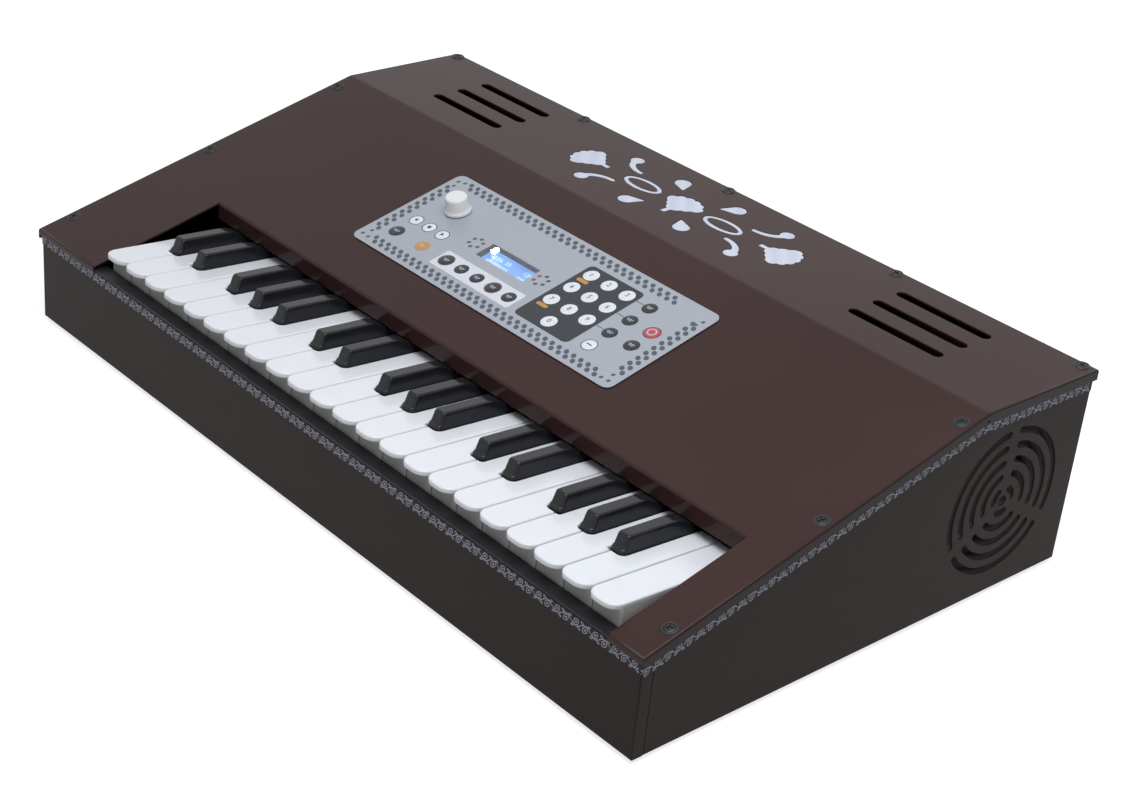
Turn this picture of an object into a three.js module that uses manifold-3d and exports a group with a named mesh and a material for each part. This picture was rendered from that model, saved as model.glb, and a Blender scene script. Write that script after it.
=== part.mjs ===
// Electronic harmonium with 37 keys, C to C, in a wedge-shaped wooden case.
// The case frame has x along the keyboard (0 at the cover's middle, + towards the high notes),
// y from the cover's front edge towards the back, and z up from the bottom edge of the walls.
// The last line of the assembly moves it so that the origin is under the middle of the box.
import * as THREE from 'three';
import { mergeVertices } from 'three/addons/utils/BufferGeometryUtils.js';
import Module from 'manifold-3d';

const wasm = await Module();
wasm.setup();

// Driving dimensions, in millimetres and degrees

// Keyboard
const octaves = 3;
const keyPitch = 23.5; // one white key and its gap
const keyGap = 1;
const keyTailLength = 44.6; // end of the flat top to the pivot
const tongueLength = 8.7; // the rounded lip in front of the key's front face
const tongueThickness = 3;
const keyWall = 1.8;
const keyHeight = 12; // pressed key's top above the pivot
const keyFrontSkirt = 18;
const keyFrontSkirtLength = 12;
const keySideSkirt = 12;
const keyUnderCover = 5.1; // the flat top runs on this far under the cover
const keyRearCurve = 8;
const keyTailDepth = 10;
const keyTailBehind = 14; // the tail runs this far behind the pivot
const whiteTailWidth = 11;
const blackTailWidth = 8;
const keyTravelDeg = 3.5; // the key rests this much nose up and levels out when pressed
const keyPivotBore = 4.8;
const slotFront = 41.2; // key tip plane to the front end of a black key's slot
const slotWidth = 12.4;
const blackSlotClear = 0.6;
const blackRise = 10.3; // black key's top above the white keys
const blackShoulder = 1.7;
const blackTopWidth = 7;
const blackShoulderWidth = 9.2;
const blackToe = 2.2;
const blackToeRise = 2;
const blackNoseLean = 6;
const blackRearCurve = 22.2; // length of the curve down behind the flat top
const blackPastTop = 2.2; // a black key ends this far behind the white keys' flat top
const blackWall = 2.2;
const sharpShiftOuter = 2; // C sharp and D sharp stand this far off the joint of their whites
const sharpShiftWide = 3; // F sharp and A sharp

// Case
const wall = 9;
const floorBoard = 6;
const frontWallHeight = 63.5;
const slipThickness = 2;
const slipDepth = 10.2;
const footHeight = 3;
const footRadius = 9;
const footInset = 34;
const seatGap = 0.3; // between turned or slanted faces that touch on the real thing

// Cover
const sheet = 1.5;
const cheekLeft = 73.9; // cover's left edge to the key opening
const cheekRight = 28.1;
const openingSideGap = 3.5; // opening's edge to the outermost key's pitch line
const openingDepth = 100.3;
const coverLift = 4.6; // cover's front edge above the front wall
const slopeDeg = 14.3;
const overlaySetback = 37.1; // from the opening to the control panel, along the slope
const overlayToBend = 35.7;
const rearFlatDepth = 105.2;
const flangeFront = 4.4;
const flangeSide = 7.5;
const flangeOpening = 12;
const bendNotch = 3;
const keyTipSetback = 4.4; // key tips behind the cover's front edge
const tongueClear = 3; // pressed key's lip above the slip

// Control panel
const overlayWidth = 261;
const overlayDepth = 98.2;
const overlayThickness = 0.8;
const overlayCorner = 6;
const overlayShift = -2; // middle of the panel from the middle of the cover
const windowWidth = 48.6;
const windowDepth = 16;
const windowInset = 109.2; // panel's left edge to the middle of the window
const windowSetback = 49.5; // panel's rear edge to the same
const windowMargin = 0.6; // the cover's hole round the printed window
const knobInset = 35.5; // panel's left edge to the knob's axis
const knobSetback = 32.1;
const knobBaseRadius = 10;
const knobTopRadius = 7.9;
const knobHeight = 12;
const knobLift = 0.6;
const knobBevel = 1.2;
const knobSkirt = 1.6; // height of the flared rim round its foot
const knobWaist = 8.8; // radius just above that rim
const shaftRadius = 3;
const shaftClear = 0.5;
const shaftEngagement = 7;
const potBodyRadius = 8.5;
const potBodyHeight = 9;
const boardDrop = 10.5; // cover's underside to the circuit board
const boardThickness = 1.6;
const boardMargin = 14;
const standoffRadius = 3.2;
const standoffInset = 7;
const displayRecess = 5; // panel's face to the display's glass
const displayMargin = 9;

// Rear flat: vents and flower cut-outs
const ventLength = 75.8;
const ventWidth = 8;
const ventPitch = 23;
const ventsPerSide = 3;
const ventCentreX = 211;
const ventCentreY = 55.5; // behind the bend
const ornamentCentreX = -1.6;
const ornamentCentreY = 53.2;
const fanReach = 32.4;
const fanHalf = 15.8;
const fanShoulder = 21;
const fanStem = 4.2; // width of its stem
const fanStemLength = 6.5;
const fanCrest = 1; // how far its lobes swell past the rim
const fanOffset = 107.4;
const fanMiddleOffset = 19.4;
const ringOffset = 39.7;
const ringLong = 17.3;
const ringShort = 8.8;
const ringStroke = 3.3;
const budOffset = 27.2;
const budRadius = 6.3;
const budTail = 9.6;
const hookOffsetX = 74.3;
const hookOffsetY = 27.2;
const hookHead = 5.4;
const hookSweepX = 18;
const hookSweepY = 13.8;
const hookStroke = 4.4;
const diffuserMargin = 7;
const diffuserThickness = 1.5;

// Side grilles and speakers
const grilleCentreBack = 70; // from the outer face of the rear wall
const grilleCentreHeight = 65;
const grilleRings = 5;
const grillePitch = 9.8;
const grilleSlot = 4.2;
const grilleHub = 3.4;
const grilleWeb = 8;
const grilleFirst = 8.6;
const grilleWebs = 3; // one of them points up
const speakerFlange = 3;
const speakerDepth = 34;
const speakerRim = 4;
const magnetRadius = 27;
const magnetDepth = 14;
const coneDepth = 15;
const dustCap = 12;

// Keybed
const bedSheet = 3;
const bedFront = 16;
const bedRear = 26; // behind the pivot
const bedFoot = 14;
const bedClear = 1.6; // pressed key's skirt above the deck
const bedSide = 2.4;
const bracket = 2;
const bracketHalf = 8;
const bracketTop = 5;
const rodRadius = 2;
const rodEnd = 1.4;
const rodFit = 0.3;
const springThickness = 0.8;
const springGap = 1.2;
const springStrip = 9;
const springReach = 8; // fingers end this far behind the pivot
const springFinger = 4;
const contactFront = 60;
const contactDepth = 40;
const contactThickness = 1.6;
const guideWidth = 5;
const guideDepth = 8;
const guideHeight = 9;
const guideSetback = 16;

const overrun = 5; // how far a cutting solid runs past the face that it cuts

// Counts of straight pieces that stand for each round shape
const cornerSteps = 3; // a rounded corner or a key's rear curve
const noseSteps = 2; // a black key's toe, or one lobe of a fan
const slotEndSteps = 4;
const motifSteps = 5;
const ovalSteps = 12;
const shaftHoleSteps = 10;
const rodSides = 10;
const postSides = 12;
const footSides = 20;
const speakerSides = 28;
const knobSides = 28;
const grilleChords = 5; // per radian of a grille slot
const fanLobes = 6;

// Places worked out from the driving dimensions

const rad = THREE.MathUtils.degToRad;
const halfTurn = Math.PI;
const quarterTurn = halfTurn / 2;
const quarterTurnDeg = THREE.MathUtils.radToDeg(quarterTurn);
const fullTurn = halfTurn * 2;
const slope = rad(slopeDeg);
const keyTravel = rad(keyTravelDeg);
const whitesPerOctave = 7;
const whiteKeys = octaves * whitesPerOctave + 1;
const keyboardWidth = whiteKeys * keyPitch;
const openingWidth = keyboardWidth + 2 * openingSideGap;
const coverWidth = cheekLeft + openingWidth + cheekRight;
const coverLeft = -coverWidth / 2;
const coverRight = coverWidth / 2;
const openingLeft = coverLeft + cheekLeft;
const openingRight = coverRight - cheekRight;
const keyboardLeft = openingLeft + openingSideGap;

const keyTopLength = openingDepth - keyTipSetback + keyUnderCover;
const keyReach = keyTopLength + keyTailLength; // tip of a white key to the pivot
const blackLength = keyTopLength + blackPastTop - slotFront;

const coverFront = frontWallHeight + coverLift;
const slopeLength = openingDepth / Math.cos(slope) + overlaySetback + overlayDepth + overlayToBend;
const bendY = slopeLength * Math.cos(slope);
const coverRear = coverFront + slopeLength * Math.sin(slope);
const coverDepth = bendY + rearFlatDepth;
const coverAt = (y) => (y < bendY ? coverFront + y * Math.tan(slope) : coverRear);
const underSlope = sheet / Math.cos(slope);
const underBendY = bendY + sheet * Math.tan(slope / 2);
const underAt = (y) => (y < underBendY ? coverFront + y * Math.tan(slope) - underSlope : coverRear - sheet);

const wallOut = coverRight - sheet - seatGap;
const wallIn = wallOut - wall;
const frontOut = sheet + seatGap;
const frontIn = frontOut + wall;
const rearOut = coverDepth - sheet - seatGap;
const rearIn = rearOut - wall;

const slipTop = frontWallHeight + slipThickness;
const keyLevel = slipTop + tongueClear + tongueThickness;
const pivotZ = keyLevel - keyHeight;
const pivotY = keyTipSetback + keyReach;
const deckTop = pivotZ + keyHeight - keyFrontSkirt - bedClear;
const keyTailHalf = keyTailDepth / 2;
const springZ = pivotZ + keyTailHalf + springGap;

const overlayS = openingDepth / Math.cos(slope) + overlaySetback + overlayDepth / 2;
const overlayBase = seatGap;
const overlayTop = overlayBase + overlayThickness;
const boardTop = -sheet - boardDrop;

// Black keys of one octave: white key to the left, and the shift off the joint between the whites.
const sharps = [
  { after: 0, shift: -sharpShiftOuter },
  { after: 1, shift: sharpShiftOuter },
  { after: 3, shift: -sharpShiftWide },
  { after: 4, shift: 0 },
  { after: 5, shift: sharpShiftWide },
];

// Materials

function paint(color, roughness, metalness = 0) {
  return new THREE.MeshStandardMaterial({ color, roughness, metalness });
}

const coverPaint = paint('#564844', 0.35, 0.2);
const laminate = paint('#332e2b', 0.45);
const boardWood = paint('#6b5238', 0.8);
const slipPlastic = paint('#2a2a2c', 0.5);
const ivoryPlastic = paint('#e8ecf2', 0.25);
const ebonyPlastic = paint('#35363a', 0.55);
const printedFoil = paint('#a9afb8', 0.4);
const displayGlass = paint('#5f8fe0', 0.1);
const knobPlastic = paint('#f2f2f0', 0.35);
const bedPlastic = paint('#3b3d40', 0.6);
const circuitBoard = paint('#2d6b45', 0.5);
const plainSteel = paint('#b8babd', 0.3, 0.9);
const speakerPaper = paint('#26262a', 0.8);
const frostedPlastic = paint('#dfe3f0', 0.5);
const footRubber = paint('#1c1c1d', 0.9);

// Geometry helpers

function toSolid(geometry) {
  const bare = geometry.clone();
  bare.deleteAttribute('normal');
  bare.deleteAttribute('uv');
  const merged = mergeVertices(bare);
  const mesh = new wasm.Mesh({
    numProp: 3,
    vertProperties: new Float32Array(merged.attributes.position.array),
    triVerts: new Uint32Array(merged.index.array),
  });
  return new wasm.Manifold(mesh);
}

function toGeometry(solid) {
  const { vertProperties, triVerts } = solid.getMesh();
  const geometry = new THREE.BufferGeometry();
  geometry.setAttribute('position', new THREE.BufferAttribute(new Float32Array(vertProperties), 3));
  geometry.setIndex(new THREE.BufferAttribute(new Uint32Array(triVerts), 1));
  geometry.computeVertexNormals();
  return geometry;
}

const joinAll = (solids) => solids.reduce((sum, next) => sum.add(next));

const axisX = new THREE.Vector3(1, 0, 0);
const axisY = new THREE.Vector3(0, 1, 0);
const axisZ = new THREE.Vector3(0, 0, 1);
const outlineOnYZ = new THREE.Matrix4().makeBasis(axisY, axisZ, axisX);
const outlineOnXZ = new THREE.Matrix4().makeBasis(axisX, axisZ, axisY.clone().negate());

function extrude(shape, depth, curveSegments) {
  return new THREE.ExtrudeGeometry(shape, { depth, bevelEnabled: false, curveSegments });
}

// A prism along x whose outline is drawn in (y, z).
function prismX(shape, x0, x1, curveSegments = cornerSteps) {
  return toSolid(extrude(shape, x1 - x0, curveSegments).applyMatrix4(outlineOnYZ).translate(x0, 0, 0));
}

// A prism along y whose outline is drawn in (x, z).
function prismY(shape, y0, y1, curveSegments = cornerSteps) {
  return toSolid(extrude(shape, y1 - y0, curveSegments).applyMatrix4(outlineOnXZ).translate(0, y1, 0));
}

// A prism along z whose outline is drawn in (x, y).
function prismZ(shape, z0, z1, curveSegments = cornerSteps) {
  return toSolid(extrude(shape, z1 - z0, curveSegments).translate(0, 0, z0));
}

function block(x0, x1, y0, y1, z0, z1) {
  const box = new THREE.BoxGeometry(x1 - x0, y1 - y0, z1 - z0);
  return toSolid(box.translate((x0 + x1) / 2, (y0 + y1) / 2, (z0 + z1) / 2));
}

const polygon = (points) => new THREE.Shape(points.map(([a, b]) => new THREE.Vector2(a, b)));

// A solid of revolution about z; the profile is a list of [radius, height].
function turned(profile, segments) {
  const points = profile.map(([r, h]) => new THREE.Vector2(r, h));
  return new THREE.LatheGeometry(points, segments).rotateX(quarterTurn);
}

// A round bar about x.
function barX(radius, x0, x1) {
  const bar = new THREE.CylinderGeometry(radius, radius, x1 - x0, rodSides);
  return toSolid(bar.rotateZ(quarterTurn).translate((x0 + x1) / 2, 0, 0));
}

function roundedRectangle(width, height, corner) {
  const shape = new THREE.Shape();
  const right = width / 2 - corner;
  const top = height / 2 - corner;
  shape.absarc(right, top, corner, 0, quarterTurn);
  shape.absarc(-right, top, corner, quarterTurn, halfTurn);
  shape.absarc(-right, -top, corner, halfTurn, halfTurn + quarterTurn);
  shape.absarc(right, -top, corner, halfTurn + quarterTurn, fullTurn);
  return shape;
}

const caseGroup = new THREE.Group();
const slopeGroup = new THREE.Group();

function place(name, shape, material, parent = caseGroup) {
  const mesh = new THREE.Mesh(shape.isBufferGeometry ? shape : toGeometry(shape), material);
  mesh.name = name;
  parent.add(mesh);
  return mesh;
}

// Keys

// Joints between whites, counted from the left edge of an octave, that carry a sharp.
function sharpAt(joint) {
  const step = ((joint % whitesPerOctave) + whitesPerOctave) % whitesPerOctave;
  if (joint <= 0 || joint >= whiteKeys) return undefined;
  return sharps.find((sharp) => sharp.after === step - 1);
}

// The white key's own frame has its pivot at the origin and x from its left pitch line.
function whiteOutline(index) {
  const left = keyGap / 2;
  const right = keyPitch - keyGap / 2;
  const leftSharp = sharpAt(index);
  const rightSharp = sharpAt(index + 1);
  const leftCut = leftSharp ? leftSharp.shift + slotWidth / 2 : left;
  const rightCut = rightSharp ? keyPitch + rightSharp.shift - slotWidth / 2 : right;
  const shoulderY = -keyReach + slotFront;
  const front = -keyReach;
  const back = -keyReach + keyTopLength + keyRearCurve;
  const shape = new THREE.Shape();
  const corner = tongueLength;
  const threeQuarters = halfTurn + quarterTurn;
  shape.absarc(left + corner, front + corner, corner, halfTurn, threeQuarters);
  shape.absarc(right - corner, front + corner, corner, threeQuarters, fullTurn);
  if (rightSharp) {
    shape.lineTo(right, shoulderY);
    shape.lineTo(rightCut, shoulderY);
  }
  shape.lineTo(rightCut, back);
  shape.lineTo(leftCut, back);
  if (leftSharp) {
    shape.lineTo(leftCut, shoulderY);
    shape.lineTo(left, shoulderY);
  }
  return { shape, leftCut, rightCut, left, right };
}

// Side view of the level key, pivot at the origin: lip, front face, skirts, rear curve.
function whiteProfile() {
  const tip = -keyReach;
  const face = tip + tongueLength;
  const curveStart = tip + keyTopLength;
  const shape = new THREE.Shape();
  shape.moveTo(tip, keyHeight);
  shape.lineTo(tip, keyHeight - tongueThickness);
  shape.lineTo(face, keyHeight - tongueThickness);
  shape.lineTo(face, keyHeight - keyFrontSkirt);
  shape.lineTo(face + keyFrontSkirtLength, keyHeight - keyFrontSkirt);
  shape.lineTo(face + keyFrontSkirtLength, keyHeight - keySideSkirt);
  shape.lineTo(curveStart - keyRearCurve, keyHeight - keySideSkirt);
  shape.lineTo(curveStart, -keyTailHalf);
  shape.lineTo(curveStart + keyRearCurve, -keyTailHalf);
  shape.lineTo(curveStart + keyRearCurve, keyTailHalf);
  shape.absellipse(curveStart, keyTailHalf, keyRearCurve, keyHeight - keyTailHalf, 0, quarterTurn, false, 0);
  return shape;
}

function keyTail(centre, width, front) {
  const tail = block(
    centre - width / 2, centre + width / 2,
    front, keyTailBehind,
    -keyTailHalf, keyTailHalf,
  );
  return tail.subtract(barX(keyPivotBore / 2, centre - width, centre + width));
}

function whiteKey(index) {
  const { shape, leftCut, rightCut, left, right } = whiteOutline(index);
  const low = keyHeight - keyFrontSkirt - overrun;
  const body = prismZ(shape, low, keyHeight + overrun)
    .intersect(prismX(whiteProfile(), -keyPitch, keyPitch + overrun));
  // The key is a shell: a wide hollow behind the front face, a narrower one beside the sharps.
  const faceIn = -keyReach + tongueLength + keyWall;
  const shoulderIn = -keyReach + slotFront - keyWall;
  const hollowBack = -keyReach + keyTopLength - keyRearCurve;
  const roof = keyHeight - tongueThickness;
  const wide = block(left + keyWall, right - keyWall, faceIn, shoulderIn, low, roof);
  const narrow = block(leftCut + keyWall, rightCut - keyWall, faceIn, hollowBack, low, roof);
  const tailFront = hollowBack + keyWall;
  const tail = keyTail((leftCut + rightCut) / 2, whiteTailWidth, tailFront);
  return body.subtract(wide.add(narrow)).add(tail);
}

// The black key's own frame has its pivot at the origin and x from its middle.
function blackKey() {
  const base = slotWidth / 2 - blackSlotClear;
  const front = -keyReach + slotFront + blackSlotClear;
  const back = -keyReach + slotFront + blackLength;
  const top = keyHeight + blackRise;
  const low = keyHeight - keySideSkirt;
  const across = polygon([
    [-base, low], [base, low], [base, keyHeight],
    [blackShoulderWidth / 2, top - blackShoulder], [blackTopWidth / 2, top],
    [-blackTopWidth / 2, top], [-blackShoulderWidth / 2, top - blackShoulder], [-base, keyHeight],
  ]);
  const noseFoot = front + blackToe;
  const topFront = noseFoot + blackNoseLean;
  const topBack = back - blackRearCurve;
  const side = new THREE.Shape();
  side.moveTo(front, low);
  side.lineTo(back, low);
  side.lineTo(back, keyTailHalf);
  side.absellipse(topBack, keyTailHalf, back - topBack, top - keyTailHalf, 0, quarterTurn, false, 0);
  side.lineTo(topFront + blackShoulder, top);
  side.lineTo(topFront, top - blackShoulder);
  side.lineTo(noseFoot, keyHeight + blackToeRise);
  side.lineTo(front, keyHeight + blackToeRise / 2);
  const plan = new THREE.Shape();
  plan.moveTo(-base, back);
  const threeQuarters = halfTurn + quarterTurn;
  plan.absarc(-base + blackToe, front + blackToe, blackToe, halfTurn, threeQuarters);
  plan.absarc(base - blackToe, front + blackToe, blackToe, threeQuarters, fullTurn);
  plan.lineTo(base, back);
  const body = prismY(across, front - overrun, back + overrun)
    .intersect(prismX(side, -keyPitch, keyPitch))
    .intersect(prismZ(plan, low - overrun, top + overrun, noseSteps));
  const hollow = block(
    -base + blackWall, base - blackWall,
    topFront, topBack,
    low - overrun, keyHeight + blackRise / 2,
  );
  const tail = keyTail(0, blackTailWidth, topBack + blackWall);
  return body.subtract(hollow).add(tail);
}

const twoDigits = (n) => String(n).padStart(2, '0');

function placeKey(name, solid, x, material) {
  const key = place(name, solid, material);
  key.position.set(x, pivotY, pivotZ);
  key.rotation.x = -keyTravel;
}

const tailCentres = [];

function makeKeys() {
  let blackNumber = 0;
  const black = blackKey();
  for (let index = 0; index < whiteKeys; index += 1) {
    const x = keyboardLeft + index * keyPitch;
    const { leftCut, rightCut } = whiteOutline(index);
    placeKey(`white_key_${twoDigits(index + 1)}`, whiteKey(index), x, ivoryPlastic);
    tailCentres.push(x + (leftCut + rightCut) / 2);
    const sharp = sharpAt(index + 1);
    if (sharp) {
      const centre = x + keyPitch + sharp.shift;
      blackNumber += 1;
      placeKey(`black_key_${twoDigits(blackNumber)}`, black, centre, ebonyPlastic);
      tailCentres.push(centre);
    }
  }
}

// Keybed

const bedLeft = keyboardLeft - bedSide - bracket;
const bedRight = keyboardLeft + keyboardWidth + bedSide + bracket;

function keyFrame() {
  const back = pivotY + bedRear;
  const under = deckTop - bedSheet;
  const feet = floorBoard;
  // Hat section: front foot, front leg, deck, rear leg, and the spring rail that rises behind.
  const section = polygon([
    [bedFront, feet], [bedFront + bedFoot, feet], [bedFront + bedFoot, feet + bedSheet],
    [bedFront + bedSheet, feet + bedSheet], [bedFront + bedSheet, under],
    [back - bedSheet, under], [back - bedSheet, feet + bedSheet],
    [back - bedFoot, feet + bedSheet], [back - bedFoot, feet], [back, feet],
    [back, springZ], [back - springStrip, springZ], [back - springStrip, springZ - bedSheet],
    [back - bedSheet, springZ - bedSheet], [back - bedSheet, deckTop], [bedFront, deckTop],
  ]);
  const deck = prismX(section, bedLeft, bedRight);
  const bracketAt = (x) => block(
    x - bracket / 2, x + bracket / 2,
    pivotY - bracketHalf, pivotY + bracketHalf,
    deckTop - bedSheet / 2, pivotZ + bracketTop,
  );
  // Brackets stand at both ends and where two white keys meet with no sharp between them.
  const plates = [bracketAt(bedLeft + bracket / 2), bracketAt(bedRight - bracket / 2)];
  for (let joint = 1; joint < whiteKeys; joint += 1) {
    if (!sharpAt(joint)) plates.push(bracketAt(keyboardLeft + joint * keyPitch));
  }
  const guides = [];
  for (let index = 0; index < whiteKeys; index += 1) {
    const x = keyboardLeft + (index + 1 / 2) * keyPitch;
    const y = keyTipSetback + tongueLength + guideSetback;
    guides.push(block(
      x - guideWidth / 2, x + guideWidth / 2,
      y, y + guideDepth,
      deckTop - bedSheet / 2, deckTop + guideHeight,
    ));
  }
  const bore = barX(rodRadius + rodFit, bedLeft - overrun, bedRight + overrun).translate(0, pivotY, pivotZ);
  return joinAll([deck, ...plates, ...guides]).subtract(bore);
}

function pivotRod() {
  return barX(rodRadius, bedLeft - rodEnd, bedRight + rodEnd).translate(0, pivotY, pivotZ);
}

// One comb of leaf springs, its fingers reaching forward over the key tails.
function springComb() {
  const back = pivotY + bedRear;
  const root = back - springStrip;
  const tip = pivotY + springReach;
  const points = [[bedRight, root], [bedRight, back], [bedLeft, back], [bedLeft, root]];
  for (const x of tailCentres) {
    points.push([x - springFinger / 2, root], [x - springFinger / 2, tip]);
    points.push([x + springFinger / 2, tip], [x + springFinger / 2, root]);
  }
  return prismZ(polygon(points), springZ, springZ + springThickness);
}

function contactBoard() {
  return block(
    keyboardLeft, keyboardLeft + keyboardWidth,
    contactFront, contactFront + contactDepth,
    deckTop, deckTop + contactThickness,
  );
}

// Case

const onCircle = (radius, angle) => new THREE.Vector2(radius * Math.cos(angle), radius * Math.sin(angle));

function arcPoints(radius, from, to, steps) {
  return Array.from({ length: steps + 1 }, (_, i) => onCircle(radius, from + ((to - from) * i) / steps));
}

// Curved slot whose ends are drawn out to a blunt point.
function arcSlot(radius, from, to) {
  const half = grilleSlot / 2;
  const steps = Math.ceil(grilleChords * (to - from));
  const tip = half / radius;
  return new THREE.Shape([
    ...arcPoints(radius + half, from, to, steps), onCircle(radius, to + tip),
    ...arcPoints(radius - half, to, from, steps), onCircle(radius, from - tip),
  ]);
}

// Three webs, one pointing up, interrupt every ring of the grille.
function grilleSlots() {
  const hub = new THREE.Shape();
  hub.absarc(0, 0, grilleHub, 0, fullTurn);
  const slots = [hub];
  const step = fullTurn / grilleWebs;
  for (let ring = 0; ring < grilleRings; ring += 1) {
    const radius = grilleFirst + ring * grillePitch;
    const trim = Math.atan((grilleWeb + grilleSlot) / 2 / radius);
    for (let web = 0; web < grilleWebs; web += 1) {
      const start = quarterTurn + web * step;
      slots.push(arcSlot(radius, start + trim, start + step - trim));
    }
  }
  return slots;
}

const grilleOuter = grilleFirst + (grilleRings - 1) * grillePitch + grilleSlot / 2;
const grilleY = rearOut - grilleCentreBack;

function sideWall(x0, x1) {
  const shape = polygon([
    [frontIn, 0], [rearOut, 0], [rearOut, underAt(rearOut) - seatGap],
    [underBendY, underAt(rearOut) - seatGap], [frontIn, underAt(frontIn) - seatGap],
  ]);
  const board = prismX(shape, x0, x1);
  const cuts = grilleSlots().map((slot) => prismX(slot, x0 - overrun, x1 + overrun, motifSteps));
  return board.subtract(joinAll(cuts).translate(0, grilleY, grilleCentreHeight));
}

function speaker(side) {
  const rim = grilleOuter + speakerRim;
  const throat = rim - speakerRim * 2;
  const back = speakerDepth - magnetDepth;
  const profile = [
    [0, coneDepth], [dustCap, coneDepth], [throat, 0], [rim, 0], [rim, speakerFlange],
    [throat, speakerFlange], [magnetRadius, back], [magnetRadius, speakerDepth], [0, speakerDepth],
  ];
  const body = turned(profile, speakerSides).rotateY(-side * quarterTurn);
  return body.translate(side * wallIn, grilleY, grilleCentreHeight);
}

function makeCase() {
  place('bottom_board', block(-wallIn, wallIn, frontIn, rearIn, 0, floorBoard), boardWood);
  place('front_wall', block(-wallOut, wallOut, frontOut, frontIn, 0, frontWallHeight), laminate);
  place('rear_wall', block(-wallIn, wallIn, rearIn, rearOut, 0, underAt(rearOut)), laminate);
  place('left_side_wall', sideWall(-wallOut, -wallIn), laminate);
  place('right_side_wall', sideWall(wallIn, wallOut), laminate);
  const slip = block(-wallIn, wallIn, frontOut, frontOut + slipDepth, frontWallHeight, slipTop);
  place('key_slip', slip, slipPlastic);
  place('left_speaker', speaker(-1), speakerPaper);
  place('right_speaker', speaker(1), speakerPaper);
}

function makeFeet() {
  const foot = turned([[0, -footHeight], [footRadius, -footHeight], [footRadius, 0], [0, 0]], footSides);
  const places = {
    front_left: [-wallIn + footInset, frontIn + footInset],
    front_right: [wallIn - footInset, frontIn + footInset],
    rear_left: [-wallIn + footInset, rearIn - footInset],
    rear_right: [wallIn - footInset, rearIn - footInset],
  };
  for (const [corner, [x, y]] of Object.entries(places)) {
    place(`foot_${corner}`, foot.clone().translate(x, y, 0), footRubber);
  }
}

// Cut-outs of the rear flat

// Shell-shaped fan: stem tip at the origin, opening along +x.
function fanShape() {
  const rimCentre = (fanReach ** 2 - fanShoulder ** 2 - fanHalf ** 2) / (2 * (fanReach - fanShoulder));
  const rimRadius = fanReach - rimCentre;
  const rimAngle = Math.atan2(fanHalf, fanShoulder - rimCentre);
  const crest = rimRadius + fanCrest;
  const shape = new THREE.Shape();
  shape.moveTo(0, -fanStem / 2);
  shape.lineTo(fanStemLength, -fanStem / 2);
  shape.lineTo(fanShoulder, -fanHalf);
  for (let lobe = 0; lobe < fanLobes; lobe += 1) {
    const middle = -rimAngle + ((lobe + 1 / 2) * 2 * rimAngle) / fanLobes;
    const end = -rimAngle + ((lobe + 1) * 2 * rimAngle) / fanLobes;
    shape.quadraticCurveTo(
      rimCentre + crest * Math.cos(middle), crest * Math.sin(middle),
      rimCentre + rimRadius * Math.cos(end), rimRadius * Math.sin(end),
    );
  }
  shape.lineTo(fanStemLength, fanStem / 2);
  shape.lineTo(0, fanStem / 2);
  return shape;
}

function ellipseShape(long, short) {
  const shape = new THREE.Shape();
  shape.absellipse(0, 0, long, short, 0, fullTurn);
  return shape;
}

// Drop in the quarter +x, +y: a round head outside and a point towards the middle.
function budShape() {
  const outward = quarterTurn / 2;
  const wrap = fullTurn / 3;
  const point = budOffset - budTail;
  const shape = new THREE.Shape();
  shape.absarc(budOffset, budOffset, budRadius, outward - wrap, outward + wrap);
  shape.lineTo(point, point);
  return shape;
}

// Tail of the comma in the quarter +x, +y: a band along a quarter of an ellipse, from the head inwards.
function hookShape() {
  const half = hookStroke / 2;
  const x = hookOffsetX - hookSweepX;
  const y = hookOffsetY;
  const shape = new THREE.Shape();
  shape.absellipse(x, y, hookSweepX + half, hookSweepY + half, -quarterTurn, 0, false, 0);
  shape.absellipse(x, y, hookSweepX - half, hookSweepY - half, 0, -quarterTurn, true, 0);
  shape.absarc(x, y - hookSweepY, half, quarterTurn, halfTurn + quarterTurn);
  return shape;
}

// The whole ornament about its own middle: three fans, two rings, four buds and four commas.
function ornament(z0, z1) {
  const cut = (shape, segments = motifSteps) => prismZ(shape, z0, z1, segments);
  const head = cut(ellipseShape(hookHead, hookHead)).translate(hookOffsetX, hookOffsetY, 0);
  const quarter = joinAll([cut(budShape()), cut(hookShape()), head]);
  const half = quarter.add(quarter.mirror([0, 1, 0]));
  const fan = cut(fanShape(), noseSteps);
  const sideFan = fan.translate(fanOffset - fanReach, 0, 0);
  const ring = cut(ellipseShape(ringLong, ringShort), ovalSteps).translate(ringOffset, 0, 0);
  const side = joinAll([half, sideFan, ring]);
  const middleFan = fan.rotate([0, 0, quarterTurnDeg]).translate(0, -fanMiddleOffset, 0);
  return joinAll([side, side.mirror([1, 0, 0]), middleFan]);
}

const ornamentY = bendY + ornamentCentreY;

// White backing sheet under the ornament, with the two oval islands that fill its rings.
function flowerDiffuser() {
  const top = coverRear - sheet;
  const halfWidth = fanOffset + diffuserMargin;
  const halfDepth = hookOffsetY + hookHead + diffuserMargin;
  const backing = block(-halfWidth, halfWidth, -halfDepth, halfDepth, top - diffuserThickness, top);
  const island = ellipseShape(ringLong - ringStroke, ringShort - ringStroke);
  const oval = prismZ(island, top - diffuserThickness / 2, coverRear, ovalSteps);
  const ovals = oval.translate(ringOffset, 0, 0).add(oval.translate(-ringOffset, 0, 0));
  return backing.add(ovals).translate(ornamentCentreX, ornamentY, 0);
}

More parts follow.
